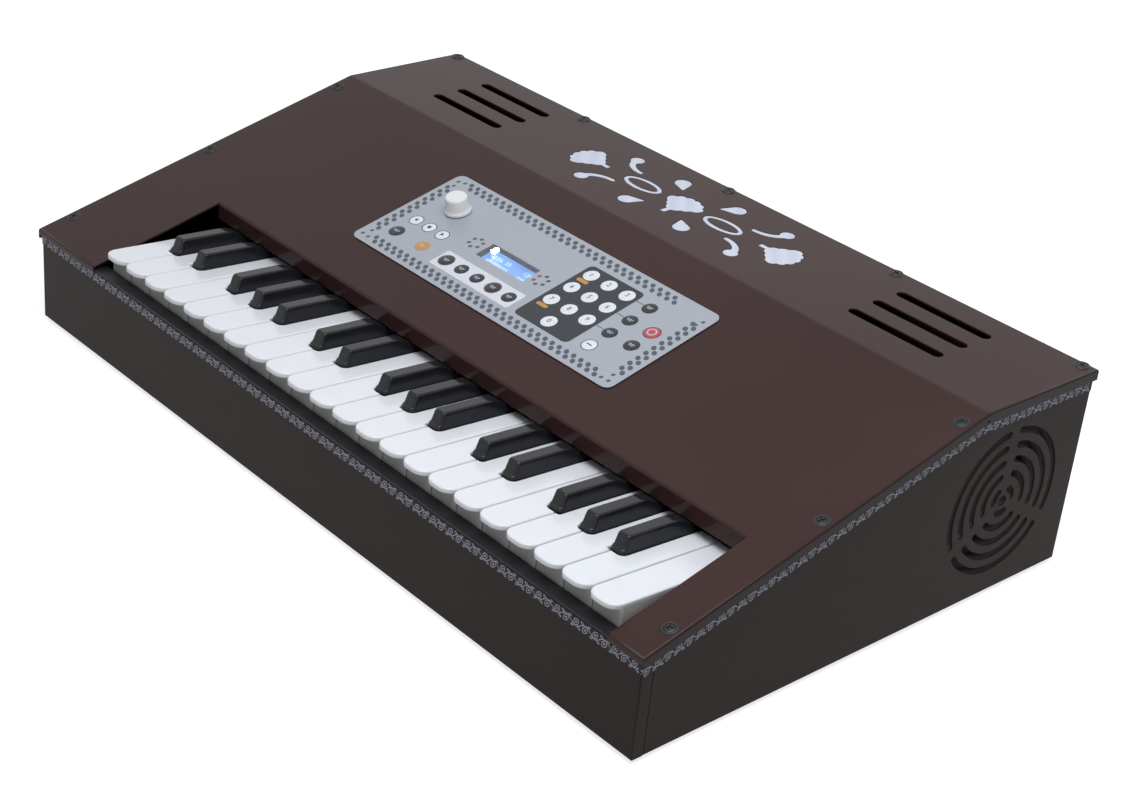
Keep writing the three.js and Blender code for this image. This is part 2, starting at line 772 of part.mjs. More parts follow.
function ventSlots(z0, z1) {
  const slot = prismZ(roundedRectangle(ventLength, ventWidth, ventWidth / 2), z0, z1, slotEndSteps);
  const slots = [];
  for (const side of [-1, 1]) {
    for (let row = 0; row < ventsPerSide; row += 1) {
      const y = bendY + ventCentreY + (row - (ventsPerSide - 1) / 2) * ventPitch;
      slots.push(slot.translate(side * ventCentreX, y, 0));
    }
  }
  return joinAll(slots);
}

// Top cover

const overlayLeft = overlayShift - overlayWidth / 2;
const overlayRear = overlayS + overlayDepth / 2;
const windowX = overlayLeft + windowInset;
const windowS = overlayRear - windowSetback;
const knobX = overlayLeft + knobInset;
const knobS = overlayRear - knobSetback;

// Turns a solid drawn on the slope (x, up the slope, out of it) into the case frame.
const ontoSlope = (solid) => solid.rotate([slopeDeg, 0, 0]).translate(0, 0, coverFront);

function coverFlange() {
  const drop = (y) => coverAt(y) - flangeSide;
  const notchTop = coverRear - flangeSide + bendNotch;
  return polygon([
    [0, drop(0)], [bendY - bendNotch, drop(bendY - bendNotch)],
    [bendY, notchTop], [bendY + bendNotch, drop(bendY)],
    [coverDepth, drop(bendY)], [coverDepth, coverRear], [bendY, coverRear], [0, coverFront],
  ]);
}

function topCover() {
  // Bent sheet seen from the side: front flange, slope, rear flat, rear flange.
  const bent = polygon([
    [0, coverFront - flangeFront], [sheet, coverFront - flangeFront], [sheet, underAt(sheet)],
    [underBendY, coverRear - sheet], [coverDepth - sheet, coverRear - sheet],
    [coverDepth - sheet, coverRear - flangeSide], [coverDepth, coverRear - flangeSide],
    [coverDepth, coverRear], [bendY, coverRear], [0, coverFront],
  ]);
  const skin = prismX(bent, coverLeft, coverRight);
  const leftFlange = prismX(coverFlange(), coverLeft, coverLeft + sheet);
  const rightFlange = prismX(coverFlange(), coverRight - sheet, coverRight);
  const opening = block(openingLeft, openingRight, -overrun, openingDepth, 0, coverRear);
  // The opening's rear edge is bent straight down behind the keys.
  const lip = prismX(polygon([
    [openingDepth, coverAt(openingDepth) - flangeOpening],
    [openingDepth + sheet, coverAt(openingDepth) - flangeOpening],
    [openingDepth + sheet, coverAt(openingDepth + sheet)],
    [openingDepth, coverAt(openingDepth)],
  ]), openingLeft, openingRight);
  const below = coverRear - sheet - overrun;
  const above = coverRear + overrun;
  const ornamentCut = ornament(below, above).translate(ornamentCentreX, ornamentY, 0);
  const window = block(
    windowX - windowWidth / 2 - windowMargin, windowX + windowWidth / 2 + windowMargin,
    windowS - windowDepth / 2 - windowMargin, windowS + windowDepth / 2 + windowMargin,
    -sheet - overrun, overrun,
  );
  const shaftHole = shaftCut(-sheet - overrun, overrun);
  return skin.add(leftFlange).add(rightFlange)
    .subtract(opening)
    .add(lip)
    .subtract(ornamentCut)
    .subtract(ventSlots(below, above))
    .subtract(ontoSlope(window.add(shaftHole)));
}

// Control panel, on the slope

function shaftCut(z0, z1) {
  const hole = new THREE.Shape();
  hole.absarc(0, 0, shaftRadius + shaftClear, 0, fullTurn);
  return prismZ(hole, z0, z1, shaftHoleSteps).translate(knobX, knobS, 0);
}

function panelOverlay() {
  const foil = prismZ(roundedRectangle(overlayWidth, overlayDepth, overlayCorner), overlayBase, overlayTop);
  const window = block(
    windowX - windowWidth / 2, windowX + windowWidth / 2,
    windowS - windowDepth / 2, windowS + windowDepth / 2,
    overlayBase - overrun, overlayTop + overrun,
  );
  const cuts = window.add(shaftCut(overlayBase - overrun, overlayTop + overrun));
  return foil.translate(overlayShift, overlayS, 0).subtract(cuts);
}

function controlBoard() {
  const halfWidth = overlayWidth / 2 - boardMargin;
  const halfDepth = overlayDepth / 2 - boardMargin;
  const board = block(-halfWidth, halfWidth, -halfDepth, halfDepth, boardTop - boardThickness, boardTop);
  const post = toSolid(turned([
    [0, boardTop - boardThickness / 2], [standoffRadius, boardTop - boardThickness / 2],
    [standoffRadius, -sheet - seatGap], [0, -sheet - seatGap],
  ], postSides));
  const posts = [];
  for (const x of [standoffInset - halfWidth, halfWidth - standoffInset]) {
    for (const y of [standoffInset - halfDepth, halfDepth - standoffInset]) {
      posts.push(post.translate(x, y, 0));
    }
  }
  return joinAll([board, ...posts]).translate(overlayShift, overlayS, 0);
}

// The display's frame, with the glass at the bottom of its pocket.
function displayModule() {
  const glassX = windowWidth / 2;
  const glassS = windowDepth / 2;
  const bodyX = glassX + displayMargin;
  const bodyS = glassS + displayMargin;
  const rim = -sheet - seatGap;
  const glass = overlayTop - displayRecess;
  const body = block(-bodyX, bodyX, -bodyS, bodyS, boardTop + seatGap, rim);
  const pocket = block(-glassX, glassX, -glassS, glassS, glass, rim + overrun);
  return body.subtract(pocket).translate(windowX, windowS, 0);
}

function volumeControl() {
  const base = boardTop + seatGap;
  const top = base + potBodyHeight;
  const body = toSolid(turned([[0, base], [potBodyRadius, base], [potBodyRadius, top], [0, top]], footSides));
  const bore = shaftCut(top - shaftEngagement - shaftClear, top + overrun);
  return body.translate(knobX, knobS, 0).subtract(bore);
}

// Knob and the shaft pressed into it, turning about z at its own origin.
function volumeKnob() {
  const base = overlayTop + knobLift;
  const top = base + knobHeight;
  const foot = boardTop + seatGap + potBodyHeight - shaftEngagement;
  return turned([
    [0, foot], [shaftRadius, foot], [shaftRadius, base], [knobBaseRadius, base],
    [knobBaseRadius, base + knobSkirt], [knobWaist, base + knobSkirt * 2], [knobTopRadius, top - knobBevel],
    [knobTopRadius - knobBevel, top], [0, top],
  ], knobSides);
}

function makeControlPanel() {
  slopeGroup.position.set(0, 0, coverFront);
  slopeGroup.rotation.x = slope;
  place('panel_overlay', panelOverlay(), printedFoil, slopeGroup);
  place('control_board', controlBoard(), circuitBoard, slopeGroup);
  place('display_module', displayModule(), displayGlass, slopeGroup);
  place('volume_control', volumeControl(), plainSteel, slopeGroup);
  const knob = place('volume_knob', volumeKnob(), knobPlastic, slopeGroup);
  knob.position.set(knobX, knobS, 0);
}

// Assembly

makeCase();
makeFeet();
place('top_cover', topCover(), coverPaint);
place('flower_diffuser', flowerDiffuser(), frostedPlastic);
makeKeys();
place('key_frame', keyFrame(), bedPlastic);
place('key_pivot_rod', pivotRod(), plainSteel);
place('return_spring_comb', springComb(), plainSteel);
place('key_contact_board', contactBoard(), circuitBoard);
makeControlPanel();

caseGroup.add(slopeGroup);
caseGroup.position.set(0, -coverDepth / 2, footHeight);

const harmonium = new THREE.Group();
harmonium.add(caseGroup);

export default harmonium;
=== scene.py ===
"""Looks of the electronic harmonium, built on the packed part: one operator for each visible piece."""
import math

import bmesh
import bpy
import numpy as np
from bpy.props import FloatProperty, FloatVectorProperty, IntProperty, PointerProperty
from mathutils import Matrix, Vector
from mathutils.geometry import delaunay_2d_cdt


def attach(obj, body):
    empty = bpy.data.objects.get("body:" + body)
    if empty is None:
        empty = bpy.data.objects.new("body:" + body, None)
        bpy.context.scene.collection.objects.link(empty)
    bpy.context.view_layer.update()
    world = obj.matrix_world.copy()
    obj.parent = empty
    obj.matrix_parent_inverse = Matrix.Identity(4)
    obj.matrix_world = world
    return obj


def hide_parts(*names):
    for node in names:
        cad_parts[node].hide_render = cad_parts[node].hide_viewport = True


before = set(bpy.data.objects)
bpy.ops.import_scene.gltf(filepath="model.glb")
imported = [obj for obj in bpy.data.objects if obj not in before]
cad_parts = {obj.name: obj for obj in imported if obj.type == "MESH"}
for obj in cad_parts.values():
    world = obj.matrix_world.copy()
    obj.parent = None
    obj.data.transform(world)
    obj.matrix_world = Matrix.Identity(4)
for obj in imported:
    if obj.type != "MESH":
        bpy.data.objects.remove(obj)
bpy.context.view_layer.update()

bl_info = {
    "name": "Harmonium looks",
    "version": (1, 0, 0),
    "blender": (4, 5, 0),
    "location": "3D View > Sidebar > Harmonium",
    "description": "Dresses the packed electronic harmonium in its visible pieces, finishes and studio",
    "category": "Object",
}

# Measures of the packed part, in millimetres. The case frame has x along the keys from the
# cover's middle, y backwards from the cover's front edge and z up from the walls' bottom edge.
TURN = 2 * math.pi
FOOT = 3.0
SLOPE = math.radians(14.3)
FRONT = 68.1  # cover's top at its front edge
REAR = 135.9035  # cover's rear flat
BEND = 266.0022  # y of the fold between slope and flat
DEPTH = 371.2022
SHEET, CLEAR = 1.5, 0.3  # the cover's thickness, and the walls' gap below it
HALF = 313.0
OPEN_LEFT, OPEN_RIGHT, OPEN_DEPTH = -239.1, 284.9, 100.3
WALL_OUT, WALL_IN = 311.2, 302.2
FRONT_OUT, FRONT_IN = 1.8, 10.8
REAR_OUT, REAR_IN = DEPTH - 1.8, DEPTH - 10.8
WALL_TOP = 63.5
FLANGE_FRONT, FLANGE_SIDE, FLANGE_OPENING, NOTCH = 4.4, 7.5, 12.0, 3.0
PITCH, GAP, WHITES, OCTAVE = 23.5, 1.0, 22, 7
KEYS_LEFT = -235.6
KEY_TOP, KEY_REACH = 101.0, 145.6  # flat top's length, and tip to pivot
PIVOT_Y, PIVOT_Z = 150.0, 59.5
KEY_HEIGHT = 12.0
KEY_TRAVEL = math.radians(3.5)
KEY_BORE, TAIL_END, TAIL = 2.4, 14, 5  # bore's radius, the tail's reach behind the pivot and its half height
SHARP_GAP = 6.2  # half the width that the white keys leave to a sharp
SKIRT_SHADE_LEVEL = 0.0698  # metres from the floor to the level below which the white keys' colour is painted shade, taken level to y = 0
SHARPS = {0: -2.0, 1: 2.0, 3: -3.0, 4: 0.0, 5: 3.0}  # white key of the octave: its sharp's shift
PANEL = (-132.5, 128.5, 140.6069, 238.8069)  # control panel on the slope: x, then distance up it
PANEL_TOP = 1.1
WINDOW = (-47.6, 1.0, 181.3069, 197.3069)
KNOB = (-97.0, 206.7069)
ORNAMENT = (-1.6, BEND + 53.2)
RINGS_AT = 39.7  # from the ornament's middle to its two oval rings
FOOT_INSET, SCREW_ROW = 34, 365.6  # from the walls' inner faces, and y of the screws on the flat
GRILLE = (REAR_OUT - 70, 65.0)
GRILLE_REACH = 0.056  # metres from the grille's centre to beyond its last slot
# Painted shade: the enamel is darkened from this far inside the sides' faces.
SIDE_SHADE_FROM = 0.0004  # metres inside the sides' faces
LEAN = (0, -math.sin(SLOPE), math.cos(SLOPE))  # the slope's upward normal
EYE = Vector((0.95274, -0.87528, 0.72292))  # the photo's camera, in metres
AIM = (46.052, 28.212, 5.773)  # its turn, rise and roll in degrees

CASE = Matrix.Scale(0.001, 4) @ Matrix.Translation((0, -DEPTH / 2, FOOT))
ON_SLOPE = CASE @ Matrix.Translation((0, 0, FRONT)) @ Matrix.Rotation(SLOPE, 4, "X")
YZX = Matrix(((0, 0, 1, 0), (1, 0, 0, 0), (0, 1, 0, 0), (0, 0, 0, 1)))  # drawn in y, z; thick in x
XZY = Matrix(((1, 0, 0, 0), (0, 0, -1, 0), (0, 1, 0, 0), (0, 0, 0, 1)))  # drawn in x, z; thick in -y


def linear(code):
    """The linear colour of an sRGB hex code."""
    parts = [int(code[i:i + 2], 16) / 255 for i in (1, 3, 5)]
    return tuple(p / 12.92 if p <= 0.04045 else ((p + 0.055) / 1.055) ** 2.4 for p in parts) + (1.0,)


def colour(name, description, code):
    return FloatVectorProperty(name=name, description=description, subtype="COLOR", size=4,
                               min=0, max=1, default=linear(code))


def length(name, description, mm):
    return FloatProperty(name=name, description=description, unit="LENGTH", subtype="DISTANCE",
                         precision=4, min=0, default=mm / 1000)


class CoverSettings(bpy.types.PropertyGroup):
    """Folded steel cover and its fixings."""
    enamel: colour("Enamel", "Stoved enamel of the cover", "#3f2b29")
    enamel_deep: colour("Deep enamel", "The redder shade that the enamel drifts to", "#392423")
    # Painted shade: the folded sides take this darker enamel for the shade and dark reflection they show.
    enamel_side_shade: colour("Side shade enamel", "Darker enamel of the folded sides", "#1e1514")
    sheet: length("Sheet", "Thickness of the steel", SHEET)
    fold: length("Fold radius", "Outer radius of the folded edges", 1.7)
    bend: length("Bend radius", "Half the width of the fold between slope and flat", 1.5)
    rim: length("Cut edge", "Rounding of the cut-outs' edges", 0.3)
    seed: IntProperty(name="Screw turn seed", description="Seed for how far each screw is turned", default=7)


class CaseSettings(bpy.types.PropertyGroup):
    """Wooden walls, trim strip and feet."""
    laminate: colour("Laminate", "Dark laminate of the walls", "#281e1b")
    # Painted light: the core bared in the grilles' slots takes this pale tone to stand in for light inside the slots.
    core: colour("Core", "Light-painted core of the boards, bare in the grilles' slots", "#7f7975")
    edge: length("Edge radius", "Rounding of the boards' edges", 0.8)
    strip: length("Strip height", "Height of the trim strip", 7.4)
    pitch: length("Pattern pitch", "Length of one repeat of the trim pattern", 15.5)


class KeySettings(bpy.types.PropertyGroup):
    """White and black keys."""
    white: colour("White keys", "Moulded plastic of the white keys", "#edf0f4")
    # Painted shade: the lower sides of the white keys, moulded in one with the tops, take this greyer colour for the
    # shade below the tops.
    skirt: colour("Skirts", "Shade-painted plastic below the white keys' tops", "#d0d0c8")
    black: colour("Black keys", "Moulded plastic of the black keys", "#202125")
    white_edge: length("White edge radius", "Rounding of a white key's top edge", 1.2)
    black_edge: length("Black edge radius", "Rounding of a black key's edges", 1.4)


class PanelSettings(bpy.types.PropertyGroup):
    """Control panel with its printed foil, buttons, display and knob."""
    foil: colour("Foil", "Silver-grey ground of the printed foil", "#a8aeb7")
    dark: colour("Dark print", "Dark ink of the border and the keypad", "#33373d")
    orange: colour("Orange", "Orange ink", "#c8924e")
    red: colour("Red", "Red of the power button", "#c04a48")
    backlight: colour("Backlight", "Lit ground of the display", "#67a2f4")
    border: length("Border pitch", "Length of one repeat of the printed border", 6.85)
    dome: length("Dome height", "Height of a button's embossed dome", 0.5)
    glow: FloatProperty(name="Glow", description="Strength of the display's backlight", min=0, default=0.88)


class StageSettings(bpy.types.PropertyGroup):
    """Studio: floor, lights and camera."""
    floor: colour("Floor", "Pale floor", "#bfbfc1")
    main: FloatProperty(name="Main light", description="Power of the overhead light", unit="POWER", default=6.4)
    ambient: FloatProperty(name="Ambient", description="Strength of the even studio light", min=0, default=0.47)
    backdrop: FloatProperty(name="Backdrop", description="Glow that the floor shows but lights nothing with", min=0,
                            default=0.76)
    lens: FloatProperty(name="Lens", description="Focal length on a 36 mm sensor", unit="CAMERA", default=69.2)


# Node and material helpers

def add(tree, kind, inputs=None, **settings):
    """Adds a node with its settings; an input is a value or the socket that feeds it."""
    node = tree.nodes.new(kind)
    for name, value in settings.items():
        setattr(node, name, value)
    for socket, value in (inputs or {}).items():
        if isinstance(value, bpy.types.NodeSocket):
            tree.links.new(value, node.inputs[socket])
        else:
            node.inputs[socket].default_value = value
    return node


def finish(name, build):
    """The material of that name; build(tree, place) gives the shader's inputs from Object coordinates."""
    material = bpy.data.materials.get(name)
    if material is None:
        material = bpy.data.materials.new(name)
        material.use_nodes = True
        tree = material.node_tree
        tree.nodes.clear()
        place = add(tree, "ShaderNodeTexCoord").outputs["Object"]
        shader = add(tree, "ShaderNodeBsdfPrincipled", build(tree, place))
        add(tree, "ShaderNodeOutputMaterial", {"Surface": shader.outputs["BSDF"]})
    return material


def fleck(tree, place, across, low, high, detail=2.0, grain=(1, 1, 1)):
    """Cloud of flecks about so many millimetres across, each axis divided by grain, and the colour that
    it drives from low to high."""
    place = add(tree, "ShaderNodeMapping", {"Vector": place, "Scale": grain}).outputs["Vector"]
    inputs = {"Vector": place, "Scale": 1000 / across, "Detail": detail}
    cloud = add(tree, "ShaderNodeTexNoise", inputs).outputs["Fac"]
    spread = add(tree, "ShaderNodeMapRange", {"Value": cloud, "From Min": 0.3, "From Max": 0.7}).outputs["Result"]
    tone = add(tree, "ShaderNodeMix", {0: spread, 6: low, 7: high}, data_type="RGBA").outputs[2]
    return spread, tone


def shade(tone, factor):
    """The same hue, so many times as bright."""
    return tuple(min(c * factor, 1.0) for c in tone[:3]) + (1.0,)


def off_middle(tree, place):
    """Distance from the part's middle plane, to either side."""
    across = add(tree, "ShaderNodeSeparateXYZ", {"Vector": place}).outputs["X"]
    return add(tree, "ShaderNodeMath", {0: across}, operation="ABSOLUTE").outputs["Value"]


def seen_rays(tree):
    """1 for rays that see a thing straight, mirrored or through a clear body, and 0 for rays that light one."""
    rays = add(tree, "ShaderNodeLightPath").outputs
    seen = add(tree, "ShaderNodeMath", {0: rays["Is Camera Ray"], 1: rays["Is Glossy Ray"]}, operation="MAXIMUM")
    return add(tree, "ShaderNodeMath", {0: seen.outputs["Value"], 1: rays["Is Transmission Ray"]},
               operation="MAXIMUM").outputs["Value"]


def grained(name, across, low, high, rough, relief=0.0, detail=3.0, grain=(1, 1, 1), over=None, more=None):
    """A material whose flecks drive its tone from low to high, its roughness over the range rough and a relief
    so many millimetres deep. over gives a mask and the tone that it lays on, more the shader's other values."""
    def build(tree, place):
        spread, tone = fleck(tree, place, across, low, high, detail, grain)
        if over:
            mask, laid = over(tree, place)
            tone = add(tree, "ShaderNodeMix", {0: mask, 6: tone, 7: laid}, data_type="RGBA").outputs[2]
        given = {"Base Color": tone, "Roughness": rough[0], **(more or {})}
        if rough[1] > rough[0]:
            ends = {"Value": spread, "To Min": rough[0], "To Max": rough[1]}
            given["Roughness"] = add(tree, "ShaderNodeMapRange", ends).outputs["Result"]
        if relief:
            bump = {"Height": spread, "Distance": relief / 1000}
            given["Normal"] = add(tree, "ShaderNodeBump", bump).outputs["Normal"]
        return given
    return finish(name, build)


# Materials

def stoved_enamel(cover):
    """Stoved enamel on steel: a semi-gloss skin whose orange peel blurs what it mirrors, with painted shade on the
    folded sides.
    """
    def build(tree, place):
        drift, tone = fleck(tree, place, 180, cover.enamel_deep[:], cover.enamel[:])
        # Painted shade: the side flanges take the darker enamel.
        edge = {0: off_middle(tree, place), 1: HALF / 1000 - SIDE_SHADE_FROM}
        side = add(tree, "ShaderNodeMath", edge, operation="GREATER_THAN").outputs["Value"]
        tones = {0: side, 6: tone, 7: cover.enamel_side_shade[:]}
        tone = add(tree, "ShaderNodeMix", tones, data_type="RGBA").outputs[2]
        peel = add(tree, "ShaderNodeTexNoise", {"Vector": place, "Scale": 1000 / 2.4}).outputs["Fac"]
        rough = add(tree, "ShaderNodeMapRange", {"Value": drift, "To Min": 0.3, "To Max": 0.37}).outputs["Result"]
        relief = add(tree, "ShaderNodeBump", {"Height": peel, "Distance": 0.000012}).outputs["Normal"]
        return {"Base Color": tone, "Roughness": rough, "Specular IOR Level": 0.04, "Coat Weight": 0.24,
                "Coat Roughness": 0.05, "Normal": relief}
    return finish("stoved_enamel_brown", build)


def melamine(case, grain, name, over=None):
    """Melamine-faced board: an even dark face with a faint pressed grain that runs along the board."""
    tone = case.laminate[:]
    return grained(name, 1.1, shade(tone, 0.82), shade(tone, 1.12), (0.38, 0.5), 0.02, 4.0, grain, over,
                   {"IOR": 1.5, "Specular IOR Level": 0.09})


def routed_core_and_slot_light(case):
    """Mask and tone of the core that the grille's routed slots bare a little below the face, painted pale as light
    inside the slots.
    """
    def over(tree, place):
        flat = add(tree, "ShaderNodeVectorMath", {0: place, 1: (0, 1, 1)}, operation="MULTIPLY").outputs["Vector"]
        centre = CASE @ Vector((0, *GRILLE))
        away = add(tree, "ShaderNodeVectorMath", {0: flat, 1: centre}, operation="DISTANCE").outputs["Value"]
        near = add(tree, "ShaderNodeMath", {0: away, 1: GRILLE_REACH}, operation="LESS_THAN").outputs["Value"]
        face, skin, full = WALL_OUT / 1000, 0.0004, 0.003
        depth = {"Value": off_middle(tree, place), "From Min": face - skin, "From Max": face - full, "To Max": near}
        return add(tree, "ShaderNodeMapRange", depth).outputs["Result"], case.core[:]
    return over


def fibreboard():
    """Raw medium-density fibreboard: matt and brown, flecked by pressed fibres."""
    return grained("fibreboard_raw", 1.6, linear("#8f7456"), linear("#ad9070"), (0.85, 0.85), 0.05, 6.0)


def ivory_abs(keys):
    """Injection-moulded ABS: tops polished to a soft gloss with the faintest sink marks, the lower sides painted
    greyer as shade.
    """
    # Painted shade: below that level the white keys turn to the greyer colour.
    def skirt_shade(tree, place):
        level = add(tree, "ShaderNodeVectorMath", {0: place, 1: (0, math.tan(KEY_TRAVEL), 1)}, operation="DOT_PRODUCT")
        ends = {"Value": level.outputs["Value"], "From Min": SKIRT_SHADE_LEVEL + 0.0004, "From Max": SKIRT_SHADE_LEVEL - 0.0004}
        return add(tree, "ShaderNodeMapRange", ends).outputs["Result"], keys.skirt[:]
    return grained("abs_white_polished", 26, shade(keys.white[:], 0.97), keys.white[:], (0.2, 0.26), 0.03, 2.0,
                   over=skirt_shade, more={"IOR": 1.53, "Coat Weight": 0.2, "Coat Roughness": 0.08})


def ebony_abs(keys):
    """Injection-moulded ABS, polished: near black, glossy enough to mirror the cover's lip in its rear curve."""
    return grained("abs_black_polished", 9, shade(keys.black[:], 0.85), shade(keys.black[:], 1.2), (0.13, 0.2), 0.02,
                   more={"IOR": 1.53, "Specular IOR Level": 0.25})


def black_lacquer():
    """Black lacquered strip in front of the keys, rubbed down to a satin that only hints at their lips."""
    return grained("black_lacquer", 3, linear("#201e22"), linear("#2a272b"), (0.42, 0.52), detail=4.0,
                   more={"IOR": 1.5, "Specular IOR Level": 0.2})


def printed_foil(panel):
    """Polycarbonate membrane foil, printed silver-grey from behind: a fine metallic fleck under satin."""
    def build(tree, place):
        tone = fleck(tree, place, 0.45, shade(panel.foil[:], 0.9), shade(panel.foil[:], 1.1), 3.0)[1]
        wave = add(tree, "ShaderNodeTexNoise", {"Vector": place, "Scale": 1000 / 30}).outputs["Fac"]
        rough = add(tree, "ShaderNodeMapRange", {"Value": wave, "To Min": 0.32, "To Max": 0.44}).outputs["Result"]
        relief = add(tree, "ShaderNodeBump", {"Height": wave, "Distance": 0.00003}).outputs["Normal"]
        return {"Base Color": tone, "Metallic": 0.15, "Roughness": rough, "IOR": 1.58, "Normal": relief}
    return finish("printed_foil_silver", build)


def ink(name, tone):
    """Screen-printed ink under the foil: flat colour, a little uneven where the mesh let it through."""
    return grained(name, 0.7, shade(tone, 0.88), shade(tone, 1.08), (0.34, 0.44),
                   more={"IOR": 1.58, "Specular IOR Level": 0.25})


def dome_foil(name, tone):
    """Embossed dome of the membrane foil: printed colour under a tight gloss."""
    return grained(name, 0.8, shade(tone, 0.92), shade(tone, 1.06), (0.24, 0.3),
                   more={"IOR": 1.58, "Specular IOR Level": 0.35})


def lit_glass(name, tone, glow):
    """Backlit display glass: its own soft light, uneven as the lamp spreads it, under a mirror-smooth front."""
    def build(tree, place):
        light = fleck(tree, place, 14, shade(tone, 0.82), shade(tone, 1.15))[1]
        return {"Base Color": shade(tone, 0.35), "Roughness": 0.06, "IOR": 1.52, "Emission Color": light,
                "Emission Strength": glow}
    return finish(name, build)


def clear_film():
    """Unprinted polycarbonate of the foil: clear, smooth enough to lay a pale veil and one glint on the display."""
    return finish("polycarbonate_clear", lambda tree, place: {
        "Base Color": (1, 1, 1, 1), "Roughness": 0.0, "IOR": 1.5, "Transmission Weight": 1.0})


def knob_abs():
    """White ABS with a spark-eroded skin: matt enough to fall into soft grey where the light leaves it."""
    return grained("abs_white_satin", 0.4, linear("#e9e9e8"), linear("#f4f4f3"), (0.38, 0.38), 0.012,
                   more={"IOR": 1.53})


def frosted_acrylic():
    """Sanded acrylic sheet: milky lavender white with the fine lines of the sanding across it."""
    def build(tree, place):
        inputs = {"Vector": place, "Scale": 1000 / 1.3 / 20, "Distortion": 0.6, "Detail": 1.0}
        lines = add(tree, "ShaderNodeTexWave", inputs, bands_direction="DIAGONAL").outputs["Fac"]
        tones = {0: lines, 6: linear("#d0d7e8"), 7: linear("#d9e0ef")}
        tone = add(tree, "ShaderNodeMix", tones, data_type="RGBA").outputs[2]
        relief = add(tree, "ShaderNodeBump", {"Height": lines, "Distance": 0.00004}).outputs["Normal"]
        return {"Base Color": tone, "Roughness": 0.5, "IOR": 1.49, "Normal": relief}
    return finish("acrylic_frosted", build)


def moulded(name, low, high, roughness, grit_size=0.6, metallic=0.0, relief=0.015, gloss=0.5):
    """Plain moulded, stamped or turned stock; its grit sets how the surface catches the light."""
    return grained(name, grit_size, linear(low), linear(high), (roughness, roughness + 0.08), relief,
                   more={"Metallic": metallic, "Specular IOR Level": gloss})


# Outlines and bodies, in millimetres

def arc(x, y, radius, start, turn, steps, other=None):
    """Points along the arc of a circle, or of an ellipse with that other radius."""
    angles = start + turn * np.arange(steps + 1) / steps
    return np.column_stack((x + radius * np.cos(angles), y + (other or radius) * np.sin(angles)))


def circle(x, y, radius, steps=48, other=None):
    return arc(x, y, radius, 0, TURN, steps, other)[:-1]


def rounded(x0, x1, y0, y1, corner, steps=8):
    """Counter-clockwise rectangle with rounded corners."""
    a, b, c, d = x0 + corner, x1 - corner, y0 + corner, y1 - corner
    return np.vstack([arc(x, y, corner, TURN / 4 * turns, TURN / 4, steps)
                      for x, y, turns in ((b, c, -1), (b, d, 0), (a, d, 1), (a, c, 2))])


def box_outline(x0, x1, y0, y1):
    return np.array([(x0, y0), (x1, y0), (x1, y1), (x0, y1)], float)


def leaning_oval(x, y, long, short, tilt, steps=14, point=0.0):
    """Counter-clockwise oval about (x, y), its long axis turned by tilt; point draws its ends out to tips."""
    angles = TURN * np.arange(steps) / steps
    a, b = long * np.cos(angles), short * np.sin(angles) * (1 - point * np.cos(angles) ** 2)
    c, s = math.cos(tilt), math.sin(tilt)
    return np.column_stack((x + a * c - b * s, y + a * s + b * c))


def outset(outline, amount):
    """The closed outline moved to the right of its travel, which is out of a body that is drawn
    counter-clockwise and into a hole that is drawn clockwise."""
    def normals(edge):
        edge = edge / np.linalg.norm(edge, axis=1, keepdims=True)
        return np.column_stack((edge[:, 1], -edge[:, 0]))
    before = normals(outline - np.roll(outline, 1, axis=0))
    after = normals(np.roll(outline, -1, axis=0) - outline)
    share = np.maximum(1 + (before * after).sum(1, keepdims=True), 0.3)
    return outline + (before + after) / share * amount


def fill(rings, lines=()):
    """Triangles, as places in the stacked rings, that fill the first ring less the others."""
    points = np.vstack(rings)
    edges, start = [], 0
    for ring in rings:
        edges += [(start + i, start + (i + 1) % len(ring)) for i in range(len(ring))]
        start += len(ring)
    found = delaunay_2d_cdt([Vector(p) for p in points], edges + list(lines), [], 0, 1e-5, True)
    origin = found[3]
    faces = [face for face in found[2] if all(origin[i] for i in face)]
    if not faces:
        raise RuntimeError("an outline crosses itself")
    corner = np.array([[origin[i][0] for i in face] for face in faces])
    middle = points[corner].mean(axis=1)
    a, b = points[[e[0] for e in edges]], points[[e[1] for e in edges]]
    rise = b[:, 1] - a[:, 1]
    rise[rise == 0] = 1e-12
    above = (a[:, 1] > middle[:, 1:]) != (b[:, 1] > middle[:, 1:])
    reach = (b[:, 0] - a[:, 0]) * (middle[:, 1:] - a[:, 1]) / rise + a[:, 0]
    inside = (above & (middle[:, :1] < reach)).sum(axis=1) % 2 == 1
    corner = corner[inside]
    p, q, r = points[corner[:, 0]], points[corner[:, 1]], points[corner[:, 2]]
    area = (q[:, 0] - p[:, 0]) * (r[:, 1] - p[:, 1]) - (q[:, 1] - p[:, 1]) * (r[:, 0] - p[:, 0])
    return [tuple(int(i) for i in (c if w > 0 else c[::-1])) for c, w in zip(corner, area) if abs(w) > 1e-9]


def stack(columns, caps=True, lines=()):
    """A closed body from rings: columns holds, for each outline, its rings from top to bottom."""
    verts, faces, tops, ends = [], [], [], []
    for rings in columns:
        count, start = len(rings[0]), len(verts)
        for ring in rings:
            verts.extend(map(tuple, ring))
        for level in range(len(rings) - 1):
            upper, lower = start + level * count, start + (level + 1) * count
            for i in range(count):
                j = (i + 1) % count
                faces.append((upper + i, lower + i, lower + j, upper + j))
        tops += range(start, start + count)
        ends += range(start + (len(rings) - 1) * count, start + len(rings) * count)
    if caps:
        faces += [tuple(tops[i] for i in face) for face in fill([np.array(c[0])[:, :2] for c in columns], lines)]
        faces += [tuple(ends[i] for i in face[::-1])
                  for face in fill([np.array(c[-1])[:, :2] for c in columns], lines)]
    return verts, faces


